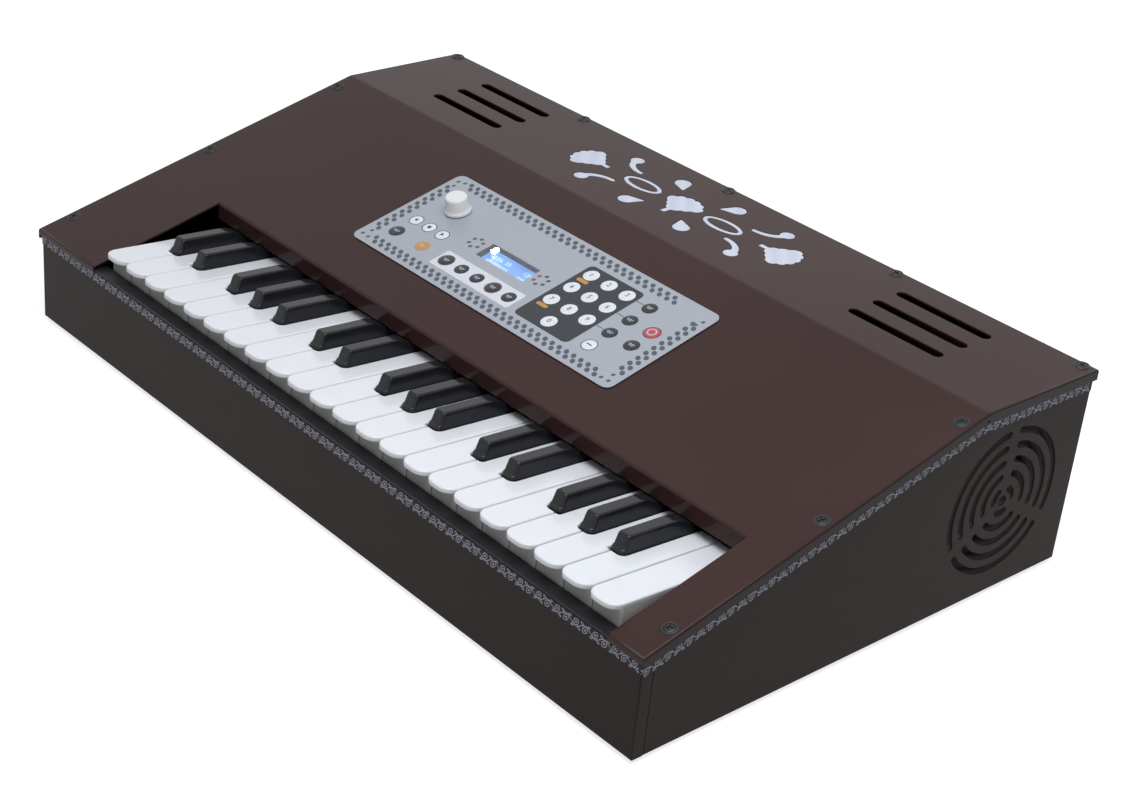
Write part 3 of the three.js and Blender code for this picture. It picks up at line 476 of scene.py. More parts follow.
def rim_levels(top, bottom, rim, steps=3):
    """(inset, height) of the rings of a board whose two rims are rounded."""
    if not rim:
        return [(0, top), (0, bottom)]
    turns = [TURN / 4 * i / steps for i in range(steps + 1)]
    upper = [(rim * (1 - math.sin(a)), top - rim * (1 - math.cos(a))) for a in turns]
    return upper + [(inset, bottom + top - height) for inset, height in reversed(upper)]


def board(outlines, top, bottom, rim=0.0, steps=3):
    """A closed board: its outline first and then its holes, with rounded rims."""
    columns = []
    for order, outline in enumerate(outlines):
        outline = outline if order == 0 else outline[::-1]
        levels = rim_levels(top, bottom, rim, steps)
        columns.append([np.column_stack((outset(outline, -inset), np.full(len(outline), height)))
                        for inset, height in levels])
    return stack(columns)


def lathe(profile, steps=64):
    """A turned body: the profile runs from the top's middle to the bottom's middle as (radius, height)."""
    verts, faces = [(0, 0, profile[0][1])], []
    for radius, height in profile[1:-1]:
        verts += [(radius * math.cos(TURN * i / steps), radius * math.sin(TURN * i / steps), height)
                  for i in range(steps)]
    verts.append((0, 0, profile[-1][1]))
    last = len(verts) - 1
    for i in range(steps):
        j = (i + 1) % steps
        faces.append((0, 1 + i, 1 + j))
        for ring in range(len(profile) - 3):
            a, b = 1 + ring * steps, 1 + (ring + 1) * steps
            faces.append((a + i, b + i, b + j, a + j))
        end = 1 + (len(profile) - 3) * steps
        faces.append((last, end + j, end + i))
    return verts, faces


def bead(points, width, height, closed=False):
    """A raised line along flat points: its crest stands that high over its two edges."""
    points = np.asarray(points, float)
    ahead = np.roll(points, -1, axis=0) - points
    behind = points - np.roll(points, 1, axis=0)
    if not closed:
        ahead[-1], behind[0] = behind[-1], ahead[0]
    run = ahead / np.linalg.norm(ahead, axis=1, keepdims=True) + behind / np.linalg.norm(behind, axis=1, keepdims=True)
    run /= np.linalg.norm(run, axis=1, keepdims=True)
    side = np.column_stack((-run[:, 1], run[:, 0])) * width / 2
    verts, count = [], len(points)
    for p, s in zip(points, side):
        verts += [(*(p + s), 0), (*p, height), (*(p - s), 0)]
    faces = []
    for i in range(count if closed else count - 1):
        a, b = 3 * i, 3 * ((i + 1) % count)
        faces += [(a, a + 1, b + 1, b), (a + 1, a + 2, b + 2, b + 1)]
    return verts, faces


def join(shapes):
    verts, faces = [], []
    for more, rows in shapes:
        start = len(verts)
        verts.extend(more)
        faces.extend(tuple(start + i for i in row) for row in rows)
    return verts, faces


def shifted(shape, x=0.0, y=0.0, z=0.0):
    return [(a + x, b + y, c + z) for a, b, c in shape[0]], shape[1]


# Objects

def new_mesh(name, shape, matrix=Matrix()):
    """The shape as a mesh, its doubled points merged and its place given by matrix."""
    mesh = bpy.data.meshes.new(name)
    mesh.from_pydata([tuple(map(float, v)) for v in shape[0]], [], shape[1])
    work = bmesh.new()
    work.from_mesh(mesh)
    bmesh.ops.remove_doubles(work, verts=work.verts, dist=1e-4)
    bmesh.ops.dissolve_degenerate(work, edges=work.edges, dist=1e-5)
    work.transform(matrix)
    work.to_mesh(mesh)
    work.free()
    return mesh


def new_object(name, mesh):
    obj = bpy.data.objects.new(name, mesh)
    bpy.context.scene.collection.objects.link(obj)
    return obj


def bake(obj):
    """Leaves the object with a plain mesh: what its modifiers gave, and no modifier."""
    depsgraph = bpy.context.evaluated_depsgraph_get()
    mesh = bpy.data.meshes.new_from_object(obj.evaluated_get(depsgraph), depsgraph=depsgraph)
    if not mesh.polygons:
        raise RuntimeError(f"{obj.name} came out empty")
    obj.modifiers.clear()
    obj.data = mesh
    return obj


def modifier(obj, kind, **settings):
    made = obj.modifiers.new(kind.lower(), kind)
    for name, value in settings.items():
        setattr(made, name, value)
    return made


def set_out(obj, material, body="case", slot=None, stands_for=(), sharp=35):
    """Finishes a piece: smooth shading up to sharp degrees, material, body and CAD nodes; slot is not used."""
    obj.data.materials.clear()
    obj.data.materials.append(material)
    obj.data.polygons.foreach_set("material_index", [0] * len(obj.data.polygons))
    obj.data.shade_smooth()
    obj.data.set_sharp_from_angle(angle=math.radians(sharp))
    modifier(obj, "WEIGHTED_NORMAL", keep_sharp=True, weight=80)
    bake(obj)
    obj.data.name = obj.name
    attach(obj, body)
    if stands_for:
        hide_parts(*stands_for)
    return obj


def piece(name, shape, matrix, material, **more):
    return set_out(new_object(name, new_mesh(name, shape, matrix)), material, **more)


def shape_of(mesh):
    return [tuple(v.co) for v in mesh.vertices], [tuple(f.vertices) for f in mesh.polygons]


def solid(name, outline, low, high, matrix=Matrix()):
    """A prism to cut or join with, in millimetres; its outline is counter-clockwise."""
    count = len(outline)
    verts = [(*p, low) for p in outline] + [(*p, high) for p in outline]
    faces = [tuple(range(count))[::-1], tuple(range(count, 2 * count))]
    faces += [(i, (i + 1) % count, count + (i + 1) % count, count + i) for i in range(count)]
    return new_object(name, new_mesh(name, (verts, faces), matrix))


def carve(body, steps):
    """Runs boolean steps on a body, bakes them and clears the tools away."""
    for operation, tool in steps:
        modifier(body, "BOOLEAN", operation=operation, object=tool, solver="EXACT")
    bake(body)
    for _, tool in steps:
        bpy.data.objects.remove(tool)
    return body


def refinish(node, material):
    """Gives a CAD node that stays shown a better material."""
    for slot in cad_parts[node].material_slots:
        slot.material = material


# Geometry Nodes for what repeats

def repeating_tree(name, along_path):
    """A tree that sets a motif along a path at an even pitch, or on each point as its attributes say."""
    tree = bpy.data.node_groups.new(name, "GeometryNodeTree")
    wanted = [("Geometry", "NodeSocketGeometry"), ("Motif", "NodeSocketObject"), ("Pitch", "NodeSocketFloat"),
              ("Turn", "NodeSocketFloat"), ("Seed", "NodeSocketInt"), ("Material", "NodeSocketMaterial")]
    for title, kind in wanted:
        tree.interface.new_socket(title, in_out="INPUT", socket_type=kind)
    tree.interface.new_socket("Geometry", in_out="OUTPUT", socket_type="NodeSocketGeometry")
    given = add(tree, "NodeGroupInput").outputs
    read = "GeometryNodeInputNamedAttribute"
    out = add(tree, read, {"Name": "out"}, data_type="FLOAT_VECTOR").outputs["Attribute"]
    if along_path:
        line = add(tree, "GeometryNodeMeshToCurve", {"Mesh": given["Geometry"]}).outputs["Curve"]
        spots = add(tree, "GeometryNodeResampleCurve", {"Curve": line, "Length": given["Pitch"]},
                    mode="LENGTH").outputs["Curve"]
        along = add(tree, "GeometryNodeInputTangent").outputs["Tangent"]
        size = (1, 1, 1)
    else:
        spots = given["Geometry"]
        along = add(tree, read, {"Name": "along"}, data_type="FLOAT_VECTOR").outputs["Attribute"]
        size = add(tree, read, {"Name": "size"}, data_type="FLOAT").outputs["Attribute"]
    axes = add(tree, "FunctionNodeAxesToRotation", {"Primary Axis": out, "Secondary Axis": along},
               primary_axis="Z", secondary_axis="X").outputs["Rotation"]
    less = add(tree, "ShaderNodeMath", {0: given["Turn"], 1: -1.0}, operation="MULTIPLY").outputs["Value"]
    chance = add(tree, "FunctionNodeRandomValue", {2: less, 3: given["Turn"], "Seed": given["Seed"]},
                 data_type="FLOAT")
    spin = add(tree, "ShaderNodeCombineXYZ", {"Z": chance.outputs[1]}).outputs["Vector"]
    spin = add(tree, "FunctionNodeEulerToRotation", {"Euler": spin}).outputs["Rotation"]
    turned = add(tree, "FunctionNodeRotateRotation", {"Rotation": axes, "Rotate By": spin},
                 rotation_space="LOCAL").outputs["Rotation"]
    motif = add(tree, "GeometryNodeObjectInfo", {"Object": given["Motif"]}).outputs["Geometry"]
    placed = {"Points": spots, "Instance": motif, "Rotation": turned, "Scale": size}
    placed = add(tree, "GeometryNodeInstanceOnPoints", placed).outputs["Instances"]
    real = add(tree, "GeometryNodeRealizeInstances", {"Geometry": placed}).outputs["Geometry"]
    done = add(tree, "GeometryNodeSetMaterial", {"Geometry": real, "Material": given["Material"]}).outputs["Geometry"]
    add(tree, "NodeGroupOutput", {"Geometry": done})
    return tree


def repeat(name, motif, material, points, attributes, edges=(), pitch=0.01, turn=0.0, seed=0, **more):
    """Grows a piece by setting the motif, in millimetres, at points of the part frame or along their edges."""
    tree_name = "Repeat along a path" if edges else "Set on points"
    tree = bpy.data.node_groups.get(tree_name) or repeating_tree(tree_name, bool(edges))
    pattern = new_object(name + "_motif", new_mesh(name + "_motif", motif, Matrix.Scale(0.001, 4)))
    mesh = bpy.data.meshes.new(name)
    mesh.from_pydata([tuple(p) for p in points], list(edges), [])
    for title, values in attributes.items():
        flat = np.asarray(values, float)
        kind, field = ("FLOAT", "value") if flat.ndim == 1 else ("FLOAT_VECTOR", "vector")
        mesh.attributes.new(title, kind, "POINT").data.foreach_set(field, flat.ravel())
    obj = new_object(name, mesh)
    grown = modifier(obj, "NODES", node_group=tree)
    values = {"Motif": pattern, "Pitch": pitch, "Turn": turn, "Seed": seed, "Material": material}
    for item in tree.interface.items_tree:
        if item.in_out == "INPUT" and item.name in values:
            grown[item.identifier] = values[item.name]
    bake(obj)
    bpy.data.objects.remove(pattern)
    for title in ("out", "along", "size"):
        if title in obj.data.attributes:
            obj.data.attributes.remove(obj.data.attributes[title])
    return set_out(obj, material, **more)


def set_at(name, motif, material, spots, **more):
    """Repeats the motif at spots of (place, upward direction, size), turned along the keys."""
    places, ups, sizes = zip(*spots)
    given = {"out": ups, "along": [(1, 0, 0)] * len(spots), "size": sizes}
    return repeat(name, motif, material, places, given, **more)


# Cover

def roof(y, bend):
    """Height of the cover's top, with the fold eased over the bend's half width."""
    tangent = math.tan(SLOPE)
    y = np.asarray(y, float)
    eased = FRONT + (BEND - bend) * tangent + tangent * ((y - BEND + bend) - (y - BEND + bend) ** 2 / (4 * bend))
    return np.where(y < BEND - bend, FRONT + y * tangent, np.where(y > BEND + bend, REAR, eased))


def side_depth(y):
    """Depth of the side flange, cut to a notch at the bend."""
    return FLANGE_SIDE - NOTCH * max(0.0, 1 - abs(y - BEND) / NOTCH)


def fan_outline(x, y, heading):
    """Shell-shaped fan of six lobes with a short stem, its stem's foot at (x, y)."""
    reach, half, shoulder, stem, foot, lobes, steps = 32.4, 15.8, 21.0, 2.1, 6.5, 6, 6
    side_swell, lobe_swell = 0.9, 1.4
    centre = (reach ** 2 - shoulder ** 2 - half ** 2) / (2 * (reach - shoulder))
    radius = reach - centre
    spread = math.atan2(half, shoulder - centre)
    points = [(0, -stem), (foot, -stem)]
    slant = np.array((shoulder - foot, stem - half))
    for i in range(1, 3 * steps):
        swell = side_swell * abs(math.sin(math.pi * i / steps))
        outward = np.array((slant[1], -slant[0])) / np.hypot(*slant)
        points.append(tuple((foot, -stem) + slant * i / (3 * steps) + swell * outward))
    side = points[2:]
    points.append((shoulder, -half))
    for lobe in range(lobes):
        start = -spread + 2 * spread * lobe / lobes
        for i in range(1, steps + 1):
            angle = start + 2 * spread / lobes * i / steps
            swell = radius + lobe_swell * math.sin(math.pi * i / steps) ** 0.8 if i < steps else radius
            points.append((centre + swell * math.cos(angle), swell * math.sin(angle)))
    points += [(a, -b) for a, b in reversed(side)] + [(foot, stem), (0, stem)]
    c, s = math.cos(heading), math.sin(heading)
    return np.array([(x + c * a - s * b, y + s * a + c * b) for a, b in points])


def comma_outline():
    """Round head outside, and a tail that sweeps along a quarter of an ellipse towards the middle."""
    head, tail, cx, cy, long, short, r = (74.3, 27.2), 1.9, 56.3, 27.2, 18.0, 13.8, 5.4
    angles = np.linspace(-TURN / 4, 0, 31)
    half = np.linspace(tail, 3.0, 31)
    outer = np.column_stack((cx + (long + half) * np.cos(angles), cy + (short + half) * np.sin(angles)))
    inner = np.column_stack((cx + (long - half) * np.cos(angles), cy + (short - half) * np.sin(angles)))
    outer = outer[np.hypot(*(outer - head).T) > r]
    inner = inner[np.hypot(*(inner - head).T) > r][::-1]
    start = math.atan2(*(outer[-1] - head)[::-1])
    end = math.atan2(*(inner[0] - head)[::-1])
    end += TURN if end < start else 0
    around = arc(*head, r, start, end - start, 28)[1:-1]
    tip = arc(cx, cy - short, tail, TURN / 4, TURN / 2, 8)[1:-1]
    return np.vstack([outer, around, inner, tip])


def bud_outline():
    """Drop with its blunt tip towards the ornament's middle."""
    belly, tip, wrap = (27.2, 27.2, 6.3), (19.3, 19.3, 1.1), TURN / 3.25
    return np.vstack([arc(*belly, TURN / 8 - wrap, 2 * wrap, 28), arc(*tip, TURN / 8 + wrap, TURN - 2 * wrap, 8)])


def ornament_outlines():
    """The cut-outs of the flat, counter-clockwise, in the case frame."""
    quarter = [comma_outline(), bud_outline()]
    half = quarter + [(shape * (1, -1))[::-1] for shape in quarter]
    half += [circle(RINGS_AT, 0, 17.3, 56, 8.8), fan_outline(75, 0, 0)]
    shapes = half + [(shape * (-1, 1))[::-1] for shape in half]
    shapes.append(fan_outline(0, -19.4, TURN / 4))
    return [shape + ORNAMENT for shape in shapes]


def vent_outlines():
    """Three slots with round ends at each side of the flat."""
    aside, middle, step, long, high = 211, BEND + 55.5, 23, 37.9, 4
    return [rounded(x - long, x + long, y - high, y + high, high - 0.01, 10)
            for x in (-aside, aside) for y in (middle - step, middle, middle + step)]


def cover_columns(cover):
    """Rings of the cover's outer edge: its flanges, its bare edges beside the keys, and the bent-down lip."""
    sheet, fold, bend, rim = (1000 * v for v in (cover.sheet, cover.fold, cover.bend, cover.rim))
    bends = [BEND - NOTCH, BEND - bend, BEND - bend / 2, BEND, BEND + bend / 2, BEND + bend, BEND + NOTCH]
    front, bare, lip = (fold, lambda y: FLANGE_FRONT), (rim, None), (fold, lambda y: FLANGE_OPENING)
    side, rear = (fold, side_depth), (fold, lambda y: FLANGE_SIDE)
    edges = [((-HALF, 0), (OPEN_LEFT, 0), front), ((OPEN_LEFT, 0), (OPEN_LEFT, OPEN_DEPTH), bare),
             ((OPEN_LEFT, OPEN_DEPTH), (OPEN_RIGHT, OPEN_DEPTH), lip),
             ((OPEN_RIGHT, OPEN_DEPTH), (OPEN_RIGHT, 0), bare),
             ((OPEN_RIGHT, 0), (HALF, 0), front), ((HALF, 0), (HALF, DEPTH), side),
             ((HALF, DEPTH), (-HALF, DEPTH), rear), ((-HALF, DEPTH), (-HALF, 0), side)]
    normal = [np.array([b[1] - a[1], a[0] - b[0]], float) / math.hypot(b[0] - a[0], b[1] - a[1])
              for a, b, _ in edges]
    rows = []
    for number, (a, b, (radius, depth)) in enumerate(edges):
        own = normal[number] * radius
        last, following = normal[number - 1] * edges[number - 1][2][0], (number + 1) % len(edges)
        coming = normal[following] * edges[following][2][0]
        rows.append((a, own, last, normal[number - 1], number, radius, depth))
        if abs(a[1] - b[1]) > DEPTH / 2:
            for y in sorted(bends, reverse=a[1] > b[1]):
                rows.append(((a[0], y), own, np.zeros(2), np.zeros(2), number, radius, depth))
        rows.append((b, own, coming, normal[following], number, radius, depth))
    turns = [TURN / 4 * i / 5 for i in range(6)]
    rings = [[] for _ in range(len(turns) + 5)]
    for p, own, other, other_normal, number, radius, depth in rows:
        p = np.array(p, float)
        thick = sheet / math.cos(SLOPE) if p[1] < BEND else sheet
        deep = depth(p[1]) if depth else thick
        across = normal[number] + other_normal
        start = p - own - other
        marks = [(start + (own + other) * math.sin(a), radius * (1 - math.cos(a))) for a in turns]
        marks += [(p, deep - 0.2), (p - across * 0.2, deep), (p - across * (sheet - 0.2), deep),
                  (p - across * sheet, deep - 0.2 if depth else deep), (p - across * sheet * 1.02, thick)]
        for ring, (spot, drop) in zip(rings, marks):
            ring.append((*spot, float(roof(spot[1] if drop < 3 else p[1], bend)) - drop))
    return rings


class HARMONIUM_OT_cover(bpy.types.Operator):
    """Builds the folded steel cover with its cut-outs"""
    bl_idname = "harmonium.cover"
    bl_label = "Top cover"

    def execute(self, context):
        cover = context.scene.harmonium_cover
        bend, rim, sheet = 1000 * cover.bend, 1000 * cover.rim, 1000 * cover.sheet
        columns = [cover_columns(cover)]
        x0, x1, s0, s1 = WINDOW
        play = 0.6
        window = rounded(x0 - play, x1 + play, s0 - play, s1 + play, 0.3, 2)
        window[:, 1] *= math.cos(SLOPE)
        for outline in ornament_outlines() + vent_outlines() + [window]:
            outline = outline[::-1]
            rings = []
            for inset, height in rim_levels(0, -sheet, rim):
                flat = outset(outline, -inset)
                rings.append(np.column_stack((flat, roof(flat[:, 1], bend) + height)))
            columns.append(rings)
        top = np.array(columns[0][0])
        lines = []
        for y in sorted({round(float(v), 4) for v in top[:, 1] if abs(v - BEND) < NOTCH + 0.01}):
            found = [i for i in range(len(top)) if abs(top[i, 1] - y) < 1e-3]
            lines.append((found[0], found[-1]))
        piece("top_cover_sheet", stack(columns, lines=lines), CASE, stoved_enamel(cover), slot="cover_paint",
              stands_for=["top_cover"], sharp=40)
        return {"FINISHED"}


# Case

def grille_outlines():
    """Hub hole and five rings of slots in y and z, broken by three webs of which one points up."""
    hub, first, step, half, web_width = 3.4, 8.6, 9.8, 2.1, 8
    slots = [circle(*GRILLE, hub, 32)]
    for ring in range(5):
        radius = first + step * ring
        trim = math.atan((web_width + 2 * half) / 2 / radius)
        sweep = TURN / 3 - 2 * trim
        for web in range(3):
            start = TURN / 4 + web * TURN / 3 + trim
            steps = max(6, round(sweep * radius / 2.5))
            ends = [np.array(GRILLE) + radius * np.array((math.cos(a), math.sin(a)))
                    for a in (start, start + sweep)]
            slots.append(np.vstack([
                arc(*GRILLE, radius + half, start, sweep, steps),
                arc(*ends[1], half, start + sweep, TURN / 2, 6)[1:-1],
                arc(*GRILLE, radius - half, start + sweep, -sweep, steps),
                arc(*ends[0], half, start + TURN / 2, TURN / 2, 6)[1:-1]]))
    return slots


def under(y):
    """Top edge of the side walls, just below the cover's sheet."""
    return FRONT + y * math.tan(SLOPE) - SHEET / math.cos(SLOPE) - CLEAR


def roof_line(drop, start=FRONT_OUT, stop=REAR_OUT):
    """The cover's side line, so far below its top: start, bend, rear."""
    return [(start, FRONT + start * math.tan(SLOPE) - drop), (BEND, REAR - drop), (stop, REAR - drop)]


class HARMONIUM_OT_walls(bpy.types.Operator):
    """Builds the laminated walls with their rounded edges and the speaker grilles"""
    bl_idname = "harmonium.walls"
    bl_label = "Walls"

    def execute(self, context):
        case = context.scene.harmonium_case
        edge = 1000 * case.edge
        across = melamine(case, (0.03, 1, 1), "melamine_dark_across")
        back = melamine(case, (1, 0.03, 1), "melamine_dark_lengthwise", routed_core_and_slot_light(case))
        for end, half, top, front, rear in (("front", WALL_OUT, WALL_TOP, FRONT_OUT, FRONT_IN),
                                            ("rear", WALL_IN, REAR - SHEET, REAR_IN, REAR_OUT)):
            shape = board([box_outline(-half, half, 0, top)], -front, -rear, edge)
            piece(f"{end}_wall_board", shape, CASE @ XZY, across, slot="dark_laminate", stands_for=[f"{end}_wall"])
        bend = BEND + SHEET * math.tan(SLOPE / 2)
        outline = np.array([(FRONT_IN, 0), (REAR_OUT, 0), (REAR_OUT, under(bend)), (bend, under(bend)),
                            (FRONT_IN, under(FRONT_IN))])
        for side, inner, outer in (("left", -WALL_IN, -WALL_OUT), ("right", WALL_OUT, WALL_IN)):
            shape = board([outline, *grille_outlines()], inner, outer, 0.5)
            piece(f"{side}_wall_board", shape, CASE @ YZX, back, slot="dark_laminate",
                  stands_for=[f"{side}_side_wall"])
        refinish("bottom_board", fibreboard())
        return {"FINISHED"}


def trim_motif(pitch):
    """One repeat of the trim: a waving stem, a leaning veined leaf in each of its bends, small leaves on its back."""
    wide, high = 0.55, 0.2
    stem = [(x, -1.9 * math.sin(TURN * x / pitch)) for x in np.linspace(-pitch / 2, pitch / 2, 17)]
    lines = [bead(stem, wide, high)]
    for side in (1, -1):
        x = side * pitch / 4
        leaf = (x + 0.2 * side, 0.75 * side, 2.7, 1.7, 0.9, 14, 0.5)
        vein = (x + 0.2 * side, 0.75 * side, 1.1, 0.35, 0.9, 6)
        buds = [(x + 2.6 * way, -2.3 * side, 1.3, 0.6, -0.5 * side * way, 8, 0.4) for way in (1, -1)]
        lines += [bead(leaning_oval(*oval), wide, high, True) for oval in (leaf, vein, *buds)]
    return join(lines)


class HARMONIUM_OT_trim(bpy.types.Operator):
    """Lays the trim strip round the walls and repeats its raised silver pattern along it"""
    bl_idname = "harmonium.trim"
    bl_label = "Trim strip"

    def execute(self, context):
        case = context.scene.harmonium_case
        height, thick, pitch = 1000 * case.strip, 0.25, 1000 * case.pitch
        tape = moulded("embossed_tape_dark", "#252225", "#312d31", 0.5, 0.8, gloss=0.12)
        silver = moulded("hot_foil_silver", "#6e6e78", "#9a9aa4", 0.38, 0.7, 0.5)
        face = rounded(-WALL_OUT, WALL_OUT, WALL_TOP - height, WALL_TOP - 0.05, 0.3, 2)
        piece("trim_tape_front", board([face], -FRONT_OUT + thick, -FRONT_OUT - 0.1, 0.08), CASE @ XZY, tape,
              slot="dark_laminate")
        drop, start = FLANGE_SIDE + 0.1, 2.4
        outline = np.array(roof_line(drop + height, start) + roof_line(drop, start)[::-1])
        for side, upper, lower in (("left", -WALL_OUT + 0.1, -WALL_OUT - thick),
                                   ("right", WALL_OUT + thick, WALL_OUT - 0.1)):
            piece(f"trim_tape_{side}", board([outline], upper, lower, 0.08), CASE @ YZX, tape, slot="dark_laminate")
        first, last = pitch / 2 - 0.8, pitch / 2 + 2.2
        middle, drop = WALL_TOP - height / 2, drop + height / 2
        points, edges, outs = [], [], []
        for side, run in ((0, [(-WALL_OUT + first, middle), (WALL_OUT - last, middle)]),
                          (1, roof_line(drop, FRONT_OUT + first, REAR_OUT - last)),
                          (-1, roof_line(drop, FRONT_OUT + last, REAR_OUT - first)[::-1])):
            edges += [(len(points) + i, len(points) + i + 1) for i in range(len(run) - 1)]
            for a, b in run:
                points.append(CASE @ Vector((side * (WALL_OUT + thick), a, b) if side else (a, FRONT_OUT - thick, b)))
                outs.append((side, 0, 0) if side else (0, -1, 0))
        repeat("trim_pattern", trim_motif(pitch), silver, points, {"out": outs}, edges, case.pitch, slot="steel",
               sharp=80)
        return {"FINISHED"}


class HARMONIUM_OT_feet(bpy.types.Operator):
    """Turns the four rubber feet"""
    bl_idname = "harmonium.feet"
    bl_label = "Feet"

    def execute(self, context):
        shape = lathe([(0, 0), (8.7, 0), (9, -0.4), (8.8, -2.3), (8.1, -3), (3.6, -3), (3.3, -2.7), (3.3, -1.4),
                       (0, -1.4)])
        spots = [(CASE @ Vector((x, y, 0)), (0, 0, 1), 1.0)
                 for x in (FOOT_INSET - WALL_IN, WALL_IN - FOOT_INSET)
                 for y in (FRONT_IN + FOOT_INSET, REAR_IN - FOOT_INSET)]
        set_at("rubber_feet", shape, moulded("rubber_moulded", "#161617", "#222223", 0.8, 0.5, gloss=0.2), spots,
               slot="foot_rubber", stands_for=[f"foot_{a}_{b}" for a in ("front", "rear") for b in ("left", "right")])
        return {"FINISHED"}


class HARMONIUM_OT_screws(bpy.types.Operator):
    """Sets the cup washers and cross-head screws that hold the cover down"""
    bl_idname = "harmonium.screws"
    bl_label = "Cover screws"

    def execute(self, context):
        over = 0.02
        spots = [(ON_SLOPE @ Vector((x, s, over)), LEAN, 1.0) for x in (-306, 306) for s in (25, 141, 257.5)]
        spots += [(CASE @ Vector((x, SCREW_ROW, REAR + over)), (0, 0, 1), 1.0)
                  for x in (-306, -156, -3, 153, 304)]
        cup = lathe([(0, 0.25), (3.3, 0.25), (3.55, 0.75), (4.1, 0.9), (4.6, 0.75), (5.15, 0.2), (5.25, 0),
                     (0, -0.1)], 40)
        set_at("screw_cups", cup, moulded("cup_washer_blackened", "#191b1e", "#26292c", 0.4, 0.5, gloss=0.4), spots,
               slot="speaker_black")
        head = lathe([(0, 1.0), (1.6, 0.96), (2.6, 0.82), (3.2, 0.55), (3.4, 0.2), (0, 0)], 40)
        head = new_object("head", new_mesh("head", head))
        carve(head, [("DIFFERENCE", solid("slot_a", box_outline(-2.1, 2.1, -0.5, 0.5), 0.3, 3)),
                     ("DIFFERENCE", solid("slot_b", box_outline(-0.5, 0.5, -2.1, 2.1), 0.3, 3))])
        shape = shape_of(head.data)
        bpy.data.objects.remove(head)
        set_at("screw_heads", shape, moulded("screw_steel_blackened", "#1f2124", "#2e3134", 0.34, 0.4, 0.5), spots,
               turn=1.2, seed=context.scene.harmonium_cover.seed, slot="steel")
        return {"FINISHED"}


class HARMONIUM_OT_diffuser(bpy.types.Operator):
    """Lays the frosted sheet that fills the cut-outs, with the enamelled ovals that stand in its two rings"""
    bl_idname = "harmonium.diffuser"
    bl_label = "Flower diffuser"

    def execute(self, context):
        cover = context.scene.harmonium_cover
        x, y = ORNAMENT
        half, reach = 114.4, 39.6
        plate = rounded(x - half, x + half, y - reach, y + reach, 3)
        shapes = [board([plate], REAR - SHEET - 0.02, REAR - 3, 0.2)]
        shapes += [board([outset(outline, -cover.rim * 1000 - 0.02)], REAR - 0.2, REAR - 1.7)
                   for outline in ornament_outlines()]
        piece("diffuser_sheet", join(shapes), CASE, frosted_acrylic(), slot="frosted_plastic",
              stands_for=["flower_diffuser"])
        ovals = [board([circle(x + side * RINGS_AT, y, 14, 56, 5.5)], REAR, REAR - 1.6, 0.3) for side in (-1, 1)]
        piece("diffuser_ovals", join(ovals), CASE, stoved_enamel(cover), slot="cover_paint")
        return {"FINISHED"}


# Keys

def white_sides(index):
    """The key's edges at the front and beside its neighbours' slots, from its left pitch line."""
    def sharp(joint):
        return SHARPS.get((joint - 1) % OCTAVE) if 0 < joint < WHITES else None
    left, right = GAP / 2, PITCH - GAP / 2
    low, high = sharp(index), sharp(index + 1)
    return (left, right, left if low is None else low + SHARP_GAP,
            right if high is None else PITCH + high - SHARP_GAP)


def white_shape(name, sides, keys):
    """A white key in its own frame: pivot at the origin, level, x from its left pitch line."""
    left, right, left_cut, right_cut = sides
    tip, top, wall, lip, thick = -KEY_REACH, KEY_HEIGHT, 1.8, 8.7, 3.0
    shoulder, flat_end = tip + 41.2, tip + KEY_TOP
    back, low = flat_end + 8, top - 18
    plan = [arc(left + lip, tip + lip, lip, TURN / 2, TURN / 4, 14),
            arc(right - lip, tip + lip, lip, -TURN / 4, TURN / 4, 14)]
    if right_cut < right:
        turn = min(4.0, right - right_cut - 1.5)
        plan += [[(right, shoulder)], arc(right_cut + turn, shoulder + turn, turn, -TURN / 4, -TURN / 4, 6)]
    plan.append([(right_cut, back), (left_cut, back)])
    if left_cut > left:
        turn = min(4.0, left_cut - left - 1.5)
        plan += [arc(left_cut - turn, shoulder + turn, turn, 0, -TURN / 4, 6), [(left, shoulder)]]
    body = new_object(name, new_mesh(name, board([np.vstack(plan)], top, low - 5, 1000 * keys.white_edge, 5)))
    side = [[(tip - 1, top + 1), (tip - 1, top - thick), (tip + lip, top - thick), (tip + lip, low),
             (tip + lip + 12, low), (tip + lip + 12, 0), (flat_end - 8, 0), (flat_end, -5), (back, -5)],
            arc(flat_end, 5, 8, 0, TURN / 4, 10, top - 4.98), [(flat_end - 0.5, top + 1)]]
    profile = solid("profile", np.vstack(side), -5, PITCH + 5, YZX)
    steps = [("INTERSECT", profile)]
    for title, a, b, end in (("hollow", left, right, shoulder - wall), ("narrow", left_cut, right_cut, flat_end - 8)):
        plan = box_outline(a + wall, b - wall, tip + lip + wall, end)
        steps.append(("DIFFERENCE", solid(title, plan, low - 9, top - thick)))
    middle = (left_cut + right_cut) / 2
    tail = solid("tail", box_outline(middle - 5.5, middle + 5.5, flat_end - 8 + wall, TAIL_END), -TAIL, TAIL)
    bore = solid("bore", circle(0, 0, KEY_BORE, 24), -5, PITCH + 5, YZX)
    return carve(body, [*steps, ("UNION", tail), ("DIFFERENCE", bore)])


def key_place(x):
    return CASE @ Matrix.Translation((x, PIVOT_Y, PIVOT_Z)) @ Matrix.Rotation(-KEY_TRAVEL, 4, "X")


